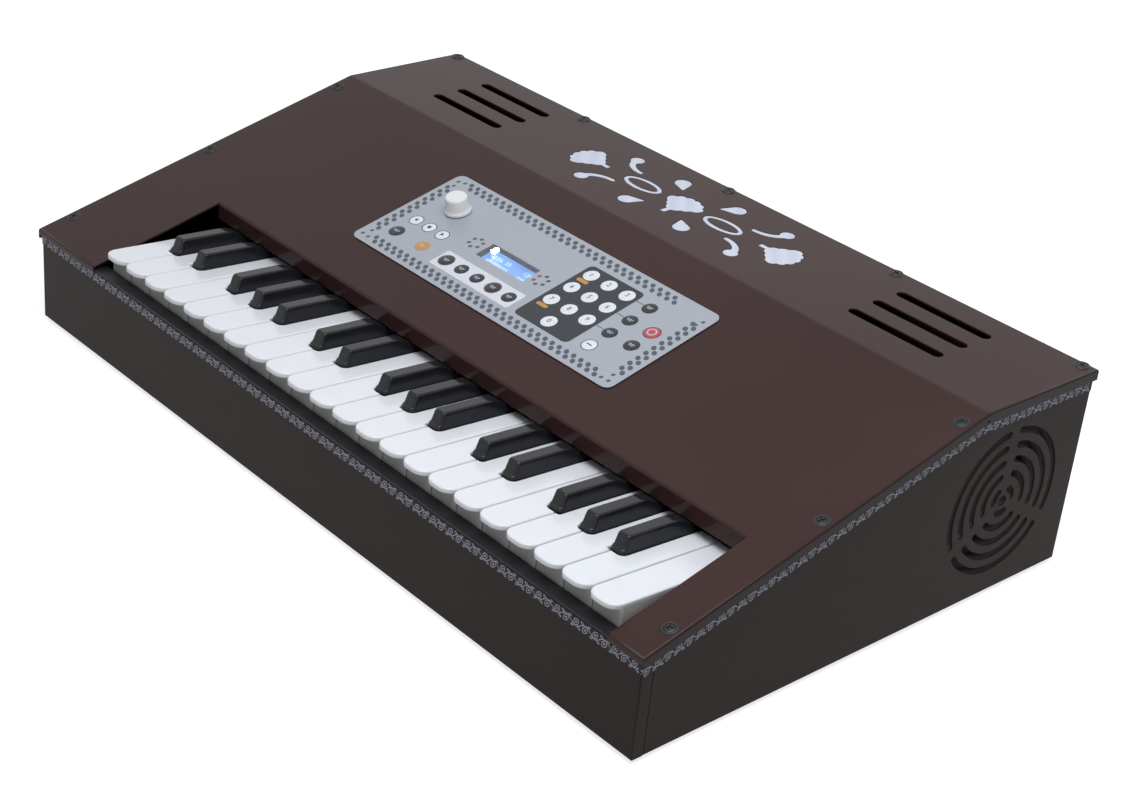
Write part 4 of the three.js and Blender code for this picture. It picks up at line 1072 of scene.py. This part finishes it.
class HARMONIUM_OT_white_keys(bpy.types.Operator):
    """Moulds the 22 white keys: hollow, with a rounded lip and cut back beside the sharps"""
    bl_idname = "harmonium.white_keys"
    bl_label = "White keys"

    def execute(self, context):
        keys = context.scene.harmonium_keys
        moulds = {}
        for index in range(WHITES):
            sides, name = white_sides(index), f"white_key_{index + 1:02d}"
            if sides not in moulds:
                moulds[sides] = white_shape(f"mould_{len(moulds)}", sides, keys)
            mesh = moulds[sides].data.copy()
            mesh.transform(key_place(KEYS_LEFT + index * PITCH))
            set_out(new_object(name + "_top", mesh), ivory_abs(keys), body=name, slot="key_white", stands_for=[name])
        for mould in moulds.values():
            bpy.data.objects.remove(mould)
        return {"FINISHED"}


def black_shape(keys):
    """A black key in its own frame: pivot at the origin, level, x from its middle. It is a stack of level rings,
    so that its shoulders, its nose and the curve down at its back run into each other."""
    base, shoulder, round_height, edge = 5.6, 4.7, 2.0, 1000 * keys.black_edge
    front, back, top, foot = -103.8, -42.4, KEY_HEIGHT + 10.3, 0
    flat_back, curve_low = back - 22.2, 5
    nose = [(foot, 0, 3.6), (KEY_HEIGHT + 0.5, 0, 3.6), (KEY_HEIGHT + 1.4, 0.25, 3.6),
            (KEY_HEIGHT + 2.0, 1.1, 3.4), (KEY_HEIGHT + 2.3, 2.0, 2.8), (KEY_HEIGHT + 3.2, 2.6, 2.2),
            (top - round_height, 4.0, 1.9), (top, 4.4, 1.9)]
    curve = [top - (top - curve_low) * (1 - math.cos(math.radians(a)))
             for a in (0, 3, 6, 10, 15, 21, 28, 36, 46, 58, 72, 90)]
    rings = []
    for z in sorted({*curve, *(z for z, _, _ in nose), KEY_HEIGHT}, reverse=True):
        ease = edge * (1 - math.sqrt(1 - max(0.0, (z - top + round_height) / round_height) ** 2))
        half = np.interp(z, (KEY_HEIGHT, top - round_height), (base, shoulder)) - ease
        lean, corner = (np.interp(z, [row[0] for row in nose], [row[n] for row in nose]) for n in (1, 2))
        start = front + lean + ease
        climb = min(1.0, max(0.0, (z - curve_low) / (top - curve_low)))
        end = flat_back + (back - flat_back) * math.sqrt(1 - climb ** 2)
        ring = np.vstack([arc(corner - half, start + corner, corner, TURN / 2, TURN / 4, 7),
                          arc(half - corner, start + corner, corner, -TURN / 4, TURN / 4, 7),
                          arc(half - edge, end - edge, edge, 0, TURN / 4, 3),
                          arc(edge - half, end - edge, edge, TURN / 4, TURN / 4, 3)])
        rings.append(np.column_stack((ring, np.full(len(ring), z))))
    body = new_object("black_mould", new_mesh("black_mould", stack([rings])))
    hollow = solid("hollow", box_outline(-3.4, 3.4, -95.6, flat_back), -3, KEY_HEIGHT + 5.15)
    tail = solid("tail", box_outline(-4, 4, flat_back + 2.2, TAIL_END), -TAIL, TAIL)
    bore = solid("bore", circle(0, 0, KEY_BORE, 24), -9, 9, YZX)
    return carve(body, [("DIFFERENCE", hollow), ("UNION", tail), ("DIFFERENCE", bore)])


class HARMONIUM_OT_black_keys(bpy.types.Operator):
    """Moulds the 15 black keys: rounded shoulders, a nose that stands back from its toe, a curve down at the back"""
    bl_idname = "harmonium.black_keys"
    bl_label = "Black keys"

    def execute(self, context):
        keys = context.scene.harmonium_keys
        mould = black_shape(keys)
        number = 0
        for joint in range(1, WHITES):
            shift = SHARPS.get((joint - 1) % OCTAVE)
            if shift is None:
                continue
            number += 1
            name = f"black_key_{number:02d}"
            mesh = mould.data.copy()
            mesh.transform(key_place(KEYS_LEFT + joint * PITCH + shift))
            set_out(new_object(name + "_top", mesh), ebony_abs(keys), body=name, slot="key_black", stands_for=[name],
                    sharp=50)
        bpy.data.objects.remove(mould)
        return {"FINISHED"}


class HARMONIUM_OT_keybed(bpy.types.Operator):
    """Lays the lacquered slip in front of the keys and refinishes the works below them"""
    bl_idname = "harmonium.keybed"
    bl_label = "Keybed"

    def execute(self, context):
        outline = box_outline(-WALL_IN, WALL_IN, FRONT_OUT + 0.05, 12)
        piece("key_slip_strip", board([outline], WALL_TOP + 2, WALL_TOP, 0.35), CASE, black_lacquer(),
              slot="slip_black", stands_for=["key_slip"])
        bed = moulded("keybed_glass_filled_nylon", "#303236", "#404347", 0.55, 1.0)
        steel = moulded("steel_bright_rolled", "#a8aaae", "#c3c5c8", 0.26, 1.5, 1.0, 0.004)
        circuit = moulded("circuit_board_green", "#245a3a", "#2f7149", 0.4, 2.5, 0.0, 0.01)
        paper = moulded("speaker_cone_pulp", "#48484c", "#5a5a5e", 0.8, 0.9, 0.0, 0.06)
        for node, material in {"key_frame": bed, "key_pivot_rod": steel, "return_spring_comb": steel,
                               "key_contact_board": circuit, "control_board": circuit, "volume_control": steel,
                               "left_speaker": paper, "right_speaker": paper}.items():
            refinish(node, material)
        return {"FINISHED"}


# Control panel

KEYPAD = [(31.0, 215.0), (48.2, 215.0), (65.4, 215.0), (31.0, 198.0), (48.2, 198.0), (65.4, 198.0),
          (31.0, 180.6), (48.2, 180.6), (65.4, 180.6), (48.2, 163.6)]
ARROWS = [(-110.6, 181.0), (-96.4, 181.0), (-82.4, 181.0)]
DARK_BUTTONS = [(-110.6, 163.8, 5.8), (-56.4, 163.8, 5.4), (-40.4, 163.8, 5.2), (-24.4, 163.8, 5.2),
                (-8.0, 163.8, 5.4), (8.2, 163.8, 5.3), (86.6, 215.0, 5.4), (86.6, 198.0, 5.4), (86.6, 180.8, 5.4),
                (106.8, 180.8, 5.5)]
WHITE_BUTTONS = [(x, s, 5.6) for x, s in KEYPAD] + [(x, s, 4.8) for x, s in ARROWS] + [(86.4, 163.8, 5.0)]
ORANGE_BUTTON = [(-82.6, 163.8, 5.4)]
RED_BUTTON = [(106.8, 198.2, 5.5)]
ROSETTES, ROSETTE_LEVEL, ROSETTE_RING = (-57.2, 9.8), 190, 5.1  # x, distance up the slope and radius
USUAL_BUTTON = 5.5  # radius at which a dome has its full height


def printed(outline, layer=1):
    """A printed area on the foil: a film whose top stands just over the layer below it."""
    return board([outline], PANEL_TOP + 0.05 * layer, PANEL_TOP - 0.05)


def printed_film(outline):
    """A printed mark about its own middle, to be repeated."""
    return board([outline], 0.06, -0.05)


def flat_spots(spots, height=0.0):
    """Spots for set_at from (x, distance up the slope, size), so high over the foil."""
    return [(ON_SLOPE @ Vector((x, s, PANEL_TOP + height)), LEAN, size) for x, s, size in spots]


class HARMONIUM_OT_foil(bpy.types.Operator):
    """Lays the printed foil on the slope, with the print that stands still: keypad ground, strip, tags and lines"""
    bl_idname = "harmonium.foil"
    bl_label = "Panel foil"

    def execute(self, context):
        panel = context.scene.harmonium_panel
        foil = [rounded(*PANEL, 6, 14), rounded(*WINDOW, 0.5, 4), circle(*KNOB, 3.5, 32)]
        piece("panel_foil", board(foil, PANEL_TOP, 0.3, 0.2), ON_SLOPE, printed_foil(panel), slot="panel_foil",
              stands_for=["panel_overlay"])
        dark, orange = ink("ink_dark_grey", panel.dark[:]), ink("ink_orange", panel.orange[:])
        white = ink("ink_white", linear("#dfe3ea"))
        for name, material, layer, outlines in (
                ("keypad_ground", dark, 1, [rounded(22.4, 74, 155, 223.6, 4)]),
                ("white_strip", white, 1, [rounded(-64.4, 16, 154.8, 172.4, 1.6)]),
                ("orange_tags", orange, 2, [rounded(26, 36, s - 1.6, s + 1.6, 1.5, 5) for s in (207.2, 172.6)]),
                ("lines", dark, 1, [box_outline(74, 81, s - 0.25, s + 0.25) for s in (215, 198, 180.8)])):
            shape = join([printed(outline, layer) for outline in outlines])
            piece(f"print_{name}", shape, ON_SLOPE, material, slot="panel_foil")
        return {"FINISHED"}


class HARMONIUM_OT_border(bpy.types.Operator):
    """Repeats the printed petals round the foil's edge and in the two rosettes beside the display"""
    bl_idname = "harmonium.border"
    bl_label = "Panel border"

    def execute(self, context):
        panel = context.scene.harmonium_panel
        soft, red = ink("ink_border_grey", linear("#555b64")), ink("ink_dull_red", linear("#80636a"))
        x0, x1, s0, s1 = PANEL
        inset, corner, pitch = 7.2, 19, 1000 * panel.border
        rows = [((x0 + corner, s1 - inset), (92, s1 - inset)), ((x0 + corner, s0 + inset), (x1 - corner, s0 + inset))]
        columns = [((x, s0 + corner), (x, s1 - corner)) for x in (x0 + inset, x1 - inset)]
        for name, a, b, runs in (("rows", 1.7, 2.0, rows), ("columns", 2.0, 1.7, columns)):
            petals = join([printed_film(leaning_oval(-a * side, b * side, 2.35, 1.75, -0.8)) for side in (1, -1)])
            spots = []
            for (xa, sa), (xb, sb) in runs:
                count = round(math.hypot(xb - xa, sb - sa) / pitch)
                spots += [(xa + (xb - xa) * i / count, sa + (sb - sa) * i / count, 1.0) for i in range(count + 1)]
            set_at(f"print_border_{name}", petals, soft, flat_spots(spots), slot="panel_foil")
        corners = [(x0 + 6, s1 - 8), (x0 + 11.5, s1 - 6.5), (x0 + 7.5, s1 - 13.5),
                   (x0 + 5.5, s0 + 6.5), (x0 + 12, s0 + 6), (x0 + 8, s0 + 12.5),
                   (x1 - 6, s0 + 6.5), (x1 - 12, s0 + 6), (x1 - 8, s0 + 12.5), (x1 - 5.5, s1 - 12), (x1 - 7, s1 - 17)]
        spots = [(x, s, 0.95) for x, s in corners]
        for x in ROSETTES:
            spots += [self.dot(x, k + 0.5, 1.0) for k in (1, 2, 3, 4, 5, 6)]
        warm = [self.dot(x, k, 1.05) for x, k in ((ROSETTES[0], 0.5), (ROSETTES[1], 2.5), (ROSETTES[1], 3.5))]
        for name, long, short, material, where in (("print_dots", 1.6, 1.3, soft, flat_spots(spots)),
                                                   ("print_red_dots", 1.5, 1.2, red, flat_spots(warm, 0.03))):
            set_at(name, printed_film(leaning_oval(0, 0, long, short, 0.8, 12)), material, where, slot="panel_foil")
        return {"FINISHED"}

    @staticmethod
    def dot(x, sixths, size):
        """Spot of a petal of the rosette about x, so many sixths of a turn round it."""
        angle = TURN * sixths / 6
        return x + ROSETTE_RING * math.cos(angle), ROSETTE_LEVEL + ROSETTE_RING * math.sin(angle), size


def symbol(text, x, s, z, size):
    """A plain digit as a thin body about (x, s, z) on the slope."""
    curve = bpy.data.curves.new("digit", "FONT")
    curve.body, curve.size, curve.extrude = text, size, 0.03
    curve.align_x, curve.align_y = "CENTER", "CENTER"
    curve.resolution_u = 3
    obj = new_object("digit", curve)
    depsgraph = bpy.context.evaluated_depsgraph_get()
    mesh = bpy.data.meshes.new_from_object(obj.evaluated_get(depsgraph), depsgraph=depsgraph)
    shape = shifted(shape_of(mesh), x, s, z)
    bpy.data.objects.remove(obj)
    bpy.data.curves.remove(curve)
    bpy.data.meshes.remove(mesh)
    return shape


class HARMONIUM_OT_buttons(bpy.types.Operator):
    """Embosses the round buttons and prints their plain digits and signs"""
    bl_idname = "harmonium.buttons"
    bl_label = "Buttons"

    def execute(self, context):
        panel = context.scene.harmonium_panel
        lift, dome = 0.05, 1000 * panel.dome / USUAL_BUTTON
        cap = [(0, dome), (0.35, dome * 0.97), (0.65, dome * 0.84), (0.85, dome * 0.55), (0.95, dome * 0.22), (1, 0)]
        cap, ring = lathe([*cap, (0, -0.01)], 36), lathe([(0, 0.006), (1, 0.006), (1.0, 0), (0, -0.002)], 40)
        dark, red = ink("ink_dark_grey", panel.dark[:]), ink("ink_dull_red", linear("#80636a"))
        for name, spots, hue, tone in (("buttons_dark", DARK_BUTTONS, "dark", linear("#24272d")),
                                       ("buttons_white", WHITE_BUTTONS, "white", linear("#e8ecf1")),
                                       ("button_orange", ORANGE_BUTTON, "orange", panel.orange[:]),
                                       ("button_power", RED_BUTTON, "red", panel.red[:])):
            set_at(name, cap, dome_foil(f"dome_foil_{hue}", tone), flat_spots(spots, lift), slot="panel_foil")
        for name, spots, material, wider in (
                ("button_rings", WHITE_BUTTONS[len(KEYPAD):] + RED_BUTTON, dark, 0.55),
                ("button_red_rings", [DARK_BUTTONS[1], DARK_BUTTONS[4]], red, 0.7)):
            spots = flat_spots([(x, s, r + wider) for x, s, r in spots], 0.03)
            set_at(name, ring, material, spots, slot="panel_foil")
        crest = PANEL_TOP + lift + 1000 * panel.dome + 0.02

        def mark(*outlines, depth=0.05):
            return board(outlines, crest + 0.03, crest - depth)

        def bar(x, s, half, low, high, corner=0.3):
            return mark(rounded(x - half, x + half, s + low, s + high, corner, 2))
        marks = [symbol(text, x, s, crest, 5.4) for text, (x, s) in zip("1234567890", KEYPAD)]
        back, stop, on = ([(-1.7, 0), (1.1, -1.6), (1.1, 1.6)], [(-1.3, -1.3), (1.3, -1.3), (1.3, 1.3), (-1.3, 1.3)],
                          [(-1.1, -1.6), (1.7, 0), (-1.1, 1.6)])
        marks += [mark(np.array(sign) + spot) for spot, sign in zip(ARROWS, (back, stop, on))]
        marks.append(bar(*WHITE_BUTTONS[-1][:2], 2.4, -0.4, 0.4))
        piece("button_marks_dark", join(marks), ON_SLOPE, dark, slot="panel_foil")
        marks = []
        for x, s, r in DARK_BUTTONS + ORANGE_BUTTON:
            marks += [bar(x, s, 0.5 * r, 0.2, 0.9), bar(x, s, 0.34 * r, -1.1, -0.5, 0.25)]
        x, s, _ = RED_BUTTON[0]
        marks.append(mark(circle(x, s, 3.5, 36), circle(x, s, 2.5, 36), depth=0.2))
        piece("button_marks_light", join(marks), ON_SLOPE, ink("ink_pale_grey", linear("#bfc4cc")), slot="panel_foil")
        return {"FINISHED"}


class HARMONIUM_OT_display(bpy.types.Operator):
    """Builds the display: black frame, lit glass in its pocket, digits in two rows and the foil's clear window"""
    bl_idname = "harmonium.display"
    bl_label = "Display"

    def execute(self, context):
        panel = context.scene.harmonium_panel
        x0, x1, s0, s1 = WINDOW
        glass, floor = PANEL_TOP - 5, PANEL_TOP - 5.6

        def field(wider):
            return box_outline(x0 - wider, x1 + wider, s0 - wider, s1 + wider)
        outer = rounded(x0 - 9, x1 + 9, s0 - 9, s1 + 9, 0.6, 2)
        bodies = [board([outer, field(0)], -1.8, floor, 0.15), board([outer], floor, -11.7, 0.2),
                  board([field(0.5), field(0)], 0.28, -1.82, 0.05)]
        black = moulded("abs_black_frame", "#17171a", "#1d1d20", 0.5, gloss=0.3)
        piece("display_frame", join(bodies), ON_SLOPE, black, slot="display", stands_for=["display_module"])
        lit = lit_glass("display_glass_backlit", panel.backlight[:], panel.glow)
        piece("display_glass", board([field(-0.05)], glass, glass - 0.5), ON_SLOPE, lit, slot="display")
        cells = []
        for text, x, s in (("0126", 5.5, 10.6), ("35", 19.3, 10.6), ("120", 38, 10.6), ("00000000", 5.5, 4.2),
                           ("440", 38, 4.2)):
            cells += [symbol(digit, x0 + x + 2.75 * k, s0 + s, glass + 0.04, 5.2) for k, digit in enumerate(text)]
        lit = lit_glass("display_cells_lit", linear("#c4e4ff"), panel.glow * 1.2)
        piece("display_digits", join(cells), ON_SLOPE, lit, slot="display")
        piece("panel_window", board([field(0.3)], PANEL_TOP - 0.15, PANEL_TOP - 0.3), ON_SLOPE, clear_film(),
              slot="display")
        return {"FINISHED"}


class HARMONIUM_OT_knob(bpy.types.Operator):
    """Turns the volume knob with its flared skirt, and its shaft"""
    bl_idname = "harmonium.knob"
    bl_label = "Volume knob"

    def execute(self, context):
        base = PANEL_TOP + 0.6
        top = base + 12
        crown = [(0, 0), (5.6, -0.02), (6.7, -0.15), (7.3, -0.5), (7.65, -1.0), (7.9, -1.8)]
        skirt = [(8.35, 5.5), (8.5, 3.9), (8.7, 3.1), (9.0, 2.3), (9.35, 1.7), (9.5, 1.3), (9.5, 0.3), (9.3, 0),
                 (3, 0)]
        turned = [(r, top + z) for r, z in crown] + [(r, base + z) for r, z in skirt]
        shape = lathe([*turned, (3, -9.4), (2.7, -9.7), (0, -9.7)], 96)
        piece("volume_knob_cap", shape, ON_SLOPE @ Matrix.Translation((*KNOB, 0)), knob_abs(), body="volume_knob",
              slot="knob_white", stands_for=["volume_knob"], sharp=60)
        return {"FINISHED"}


# Studio

class HARMONIUM_OT_stage(bpy.types.Operator):
    """Sets the floor, the even studio light and the camera"""
    bl_idname = "harmonium.stage"
    bl_label = "Studio"

    def execute(self, context):
        scene, stage = context.scene, context.scene.harmonium_stage
        scene.view_settings.view_transform = "Standard"
        self.floor(stage)
        self.air(scene, stage)
        self.light("main_softbox", (0.34, -0.22, 1.05), (0.05, 0, 0.05), 0.8, stage.main)
        target, out = ON_SLOPE @ Vector((-40.3, 192.5, PANEL_TOP - 0.15)), Vector(LEAN)
        back = (EYE - target).normalized()
        mirrored = 2 * back.dot(out) * out - back
        self.light("display_glint", target + mirrored * 1.1, target, 0.011, 0.005, 0.65)
        self.camera(scene, stage)
        return {"FINISHED"}

    @staticmethod
    def floor(stage):
        """Pale paper, which glows for the rays that see it so that it keeps its tone up to the horizon."""
        corners = [(9 * x, 9 * y, 0) for x, y in ((-1, -1), (1, -1), (1, 1), (-1, 1))]
        floor = new_object("studio_floor", new_mesh("studio_floor", (corners, [(0, 1, 2, 3)])))

        def paper(tree, place):
            tone = fleck(tree, place, 900, shade(stage.floor[:], 0.99), stage.floor[:])[1]
            glow = add(tree, "ShaderNodeMath", {0: seen_rays(tree), 1: stage.backdrop}, operation="MULTIPLY")
            return {"Base Color": tone, "Roughness": 0.9, "Specular IOR Level": 0.1,
                    "Emission Color": (1, 1, 1, 1), "Emission Strength": glow.outputs["Value"]}
        floor.data.materials.append(finish("studio_paper", paper))

    @staticmethod
    def air(scene, stage):
        """Light that grows from the horizon to the zenith, while the rays that see the air meet plain white."""
        world = bpy.data.worlds.new("studio_air")
        scene.world = world
        world.use_nodes = True
        tree = world.node_tree
        tree.nodes.clear()
        toward = add(tree, "ShaderNodeTexCoord").outputs["Generated"]
        height = add(tree, "ShaderNodeSeparateXYZ", {"Vector": toward}).outputs["Z"]
        horizon, zenith = 0.1 * stage.ambient, 1.43 * stage.ambient
        ends = {"Value": height, "To Min": horizon, "To Max": zenith}
        strength = add(tree, "ShaderNodeMapRange", ends).outputs["Result"]
        air = add(tree, "ShaderNodeBackground", {"Color": linear("#f3f6ff"), "Strength": strength})
        white = add(tree, "ShaderNodeBackground", {"Color": (1, 1, 1, 1), "Strength": 1.0})
        shaders = {0: seen_rays(tree), 1: air.outputs["Background"], 2: white.outputs["Background"]}
        mixed = add(tree, "ShaderNodeMixShader", shaders).outputs["Shader"]
        add(tree, "ShaderNodeOutputWorld", {"Surface": mixed})

    @staticmethod
    def light(name, place, target, size, power, height=1.0):
        """An oval lamp that looks from place at target; height is its height as a share of its size."""
        lamp = bpy.data.lights.new(name, "AREA")
        lamp.shape, lamp.size, lamp.size_y, lamp.energy = "ELLIPSE", size, size * height, power
        obj = new_object(name, lamp)
        obj.location = place
        obj.rotation_euler = (Vector(place) - Vector(target)).to_track_quat("Z", "Y").to_euler()

    @staticmethod
    def camera(scene, stage):
        """The photo's camera, as the pinhole fit gave it."""
        turn, rise, roll = (math.radians(v) for v in AIM)
        back = Vector((math.sin(turn) * math.cos(rise), -math.cos(turn) * math.cos(rise), math.sin(rise)))
        level = Vector((math.cos(turn), math.sin(turn), 0))
        above = back.cross(level)
        right = math.cos(roll) * level + math.sin(roll) * above
        up = math.cos(roll) * above - math.sin(roll) * level
        camera = bpy.data.cameras.new("photo_camera")
        camera.sensor_fit, camera.sensor_width, camera.lens = "HORIZONTAL", 36, stage.lens
        camera.clip_start, camera.clip_end = 0.05, 50
        obj = new_object("photo_camera", camera)
        obj.matrix_world = Matrix.Translation(EYE) @ Matrix((right, up, back)).transposed().to_4x4()
        scene.camera = obj


class HARMONIUM_PT_pieces(bpy.types.Panel):
    """Lists the pieces and their sizes and colours"""
    bl_idname = "HARMONIUM_PT_pieces"
    bl_label = "Harmonium"
    bl_space_type = "VIEW_3D"
    bl_region_type = "UI"
    bl_category = "Harmonium"

    def draw(self, context):
        for operator in OPERATORS:
            self.layout.operator(operator.bl_idname)
        for name, group in SETTINGS.items():
            box = self.layout.box()
            box.label(text=group.__doc__)
            for field in group.__annotations__:
                box.prop(getattr(context.scene, name), field)


SETTINGS = {"harmonium_cover": CoverSettings, "harmonium_case": CaseSettings, "harmonium_keys": KeySettings,
            "harmonium_panel": PanelSettings, "harmonium_stage": StageSettings}
OPERATORS = (HARMONIUM_OT_stage, HARMONIUM_OT_cover, HARMONIUM_OT_walls, HARMONIUM_OT_trim, HARMONIUM_OT_feet,
             HARMONIUM_OT_screws, HARMONIUM_OT_diffuser, HARMONIUM_OT_white_keys, HARMONIUM_OT_black_keys,
             HARMONIUM_OT_keybed, HARMONIUM_OT_foil, HARMONIUM_OT_border, HARMONIUM_OT_buttons,
             HARMONIUM_OT_display, HARMONIUM_OT_knob)


def register():
    for group in (*SETTINGS.values(), *OPERATORS, HARMONIUM_PT_pieces):
        bpy.utils.register_class(group)
    for name, group in SETTINGS.items():
        setattr(bpy.types.Scene, name, PointerProperty(type=group))


def unregister():
    for name in SETTINGS:
        delattr(bpy.types.Scene, name)
    for group in reversed((*SETTINGS.values(), *OPERATORS, HARMONIUM_PT_pieces)):
        bpy.utils.unregister_class(group)


def main():
    register()
    bpy.ops.harmonium.stage()
    bpy.ops.harmonium.cover()
    bpy.ops.harmonium.walls()
    bpy.ops.harmonium.trim()
    bpy.ops.harmonium.feet()
    bpy.ops.harmonium.screws()
    bpy.ops.harmonium.diffuser()
    bpy.ops.harmonium.white_keys()
    bpy.ops.harmonium.black_keys()
    bpy.ops.harmonium.keybed()
    bpy.ops.harmonium.foil()
    bpy.ops.harmonium.border()
    bpy.ops.harmonium.buttons()
    bpy.ops.harmonium.display()
    bpy.ops.harmonium.knob()
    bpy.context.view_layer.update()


if __name__ == "__main__":
    main()
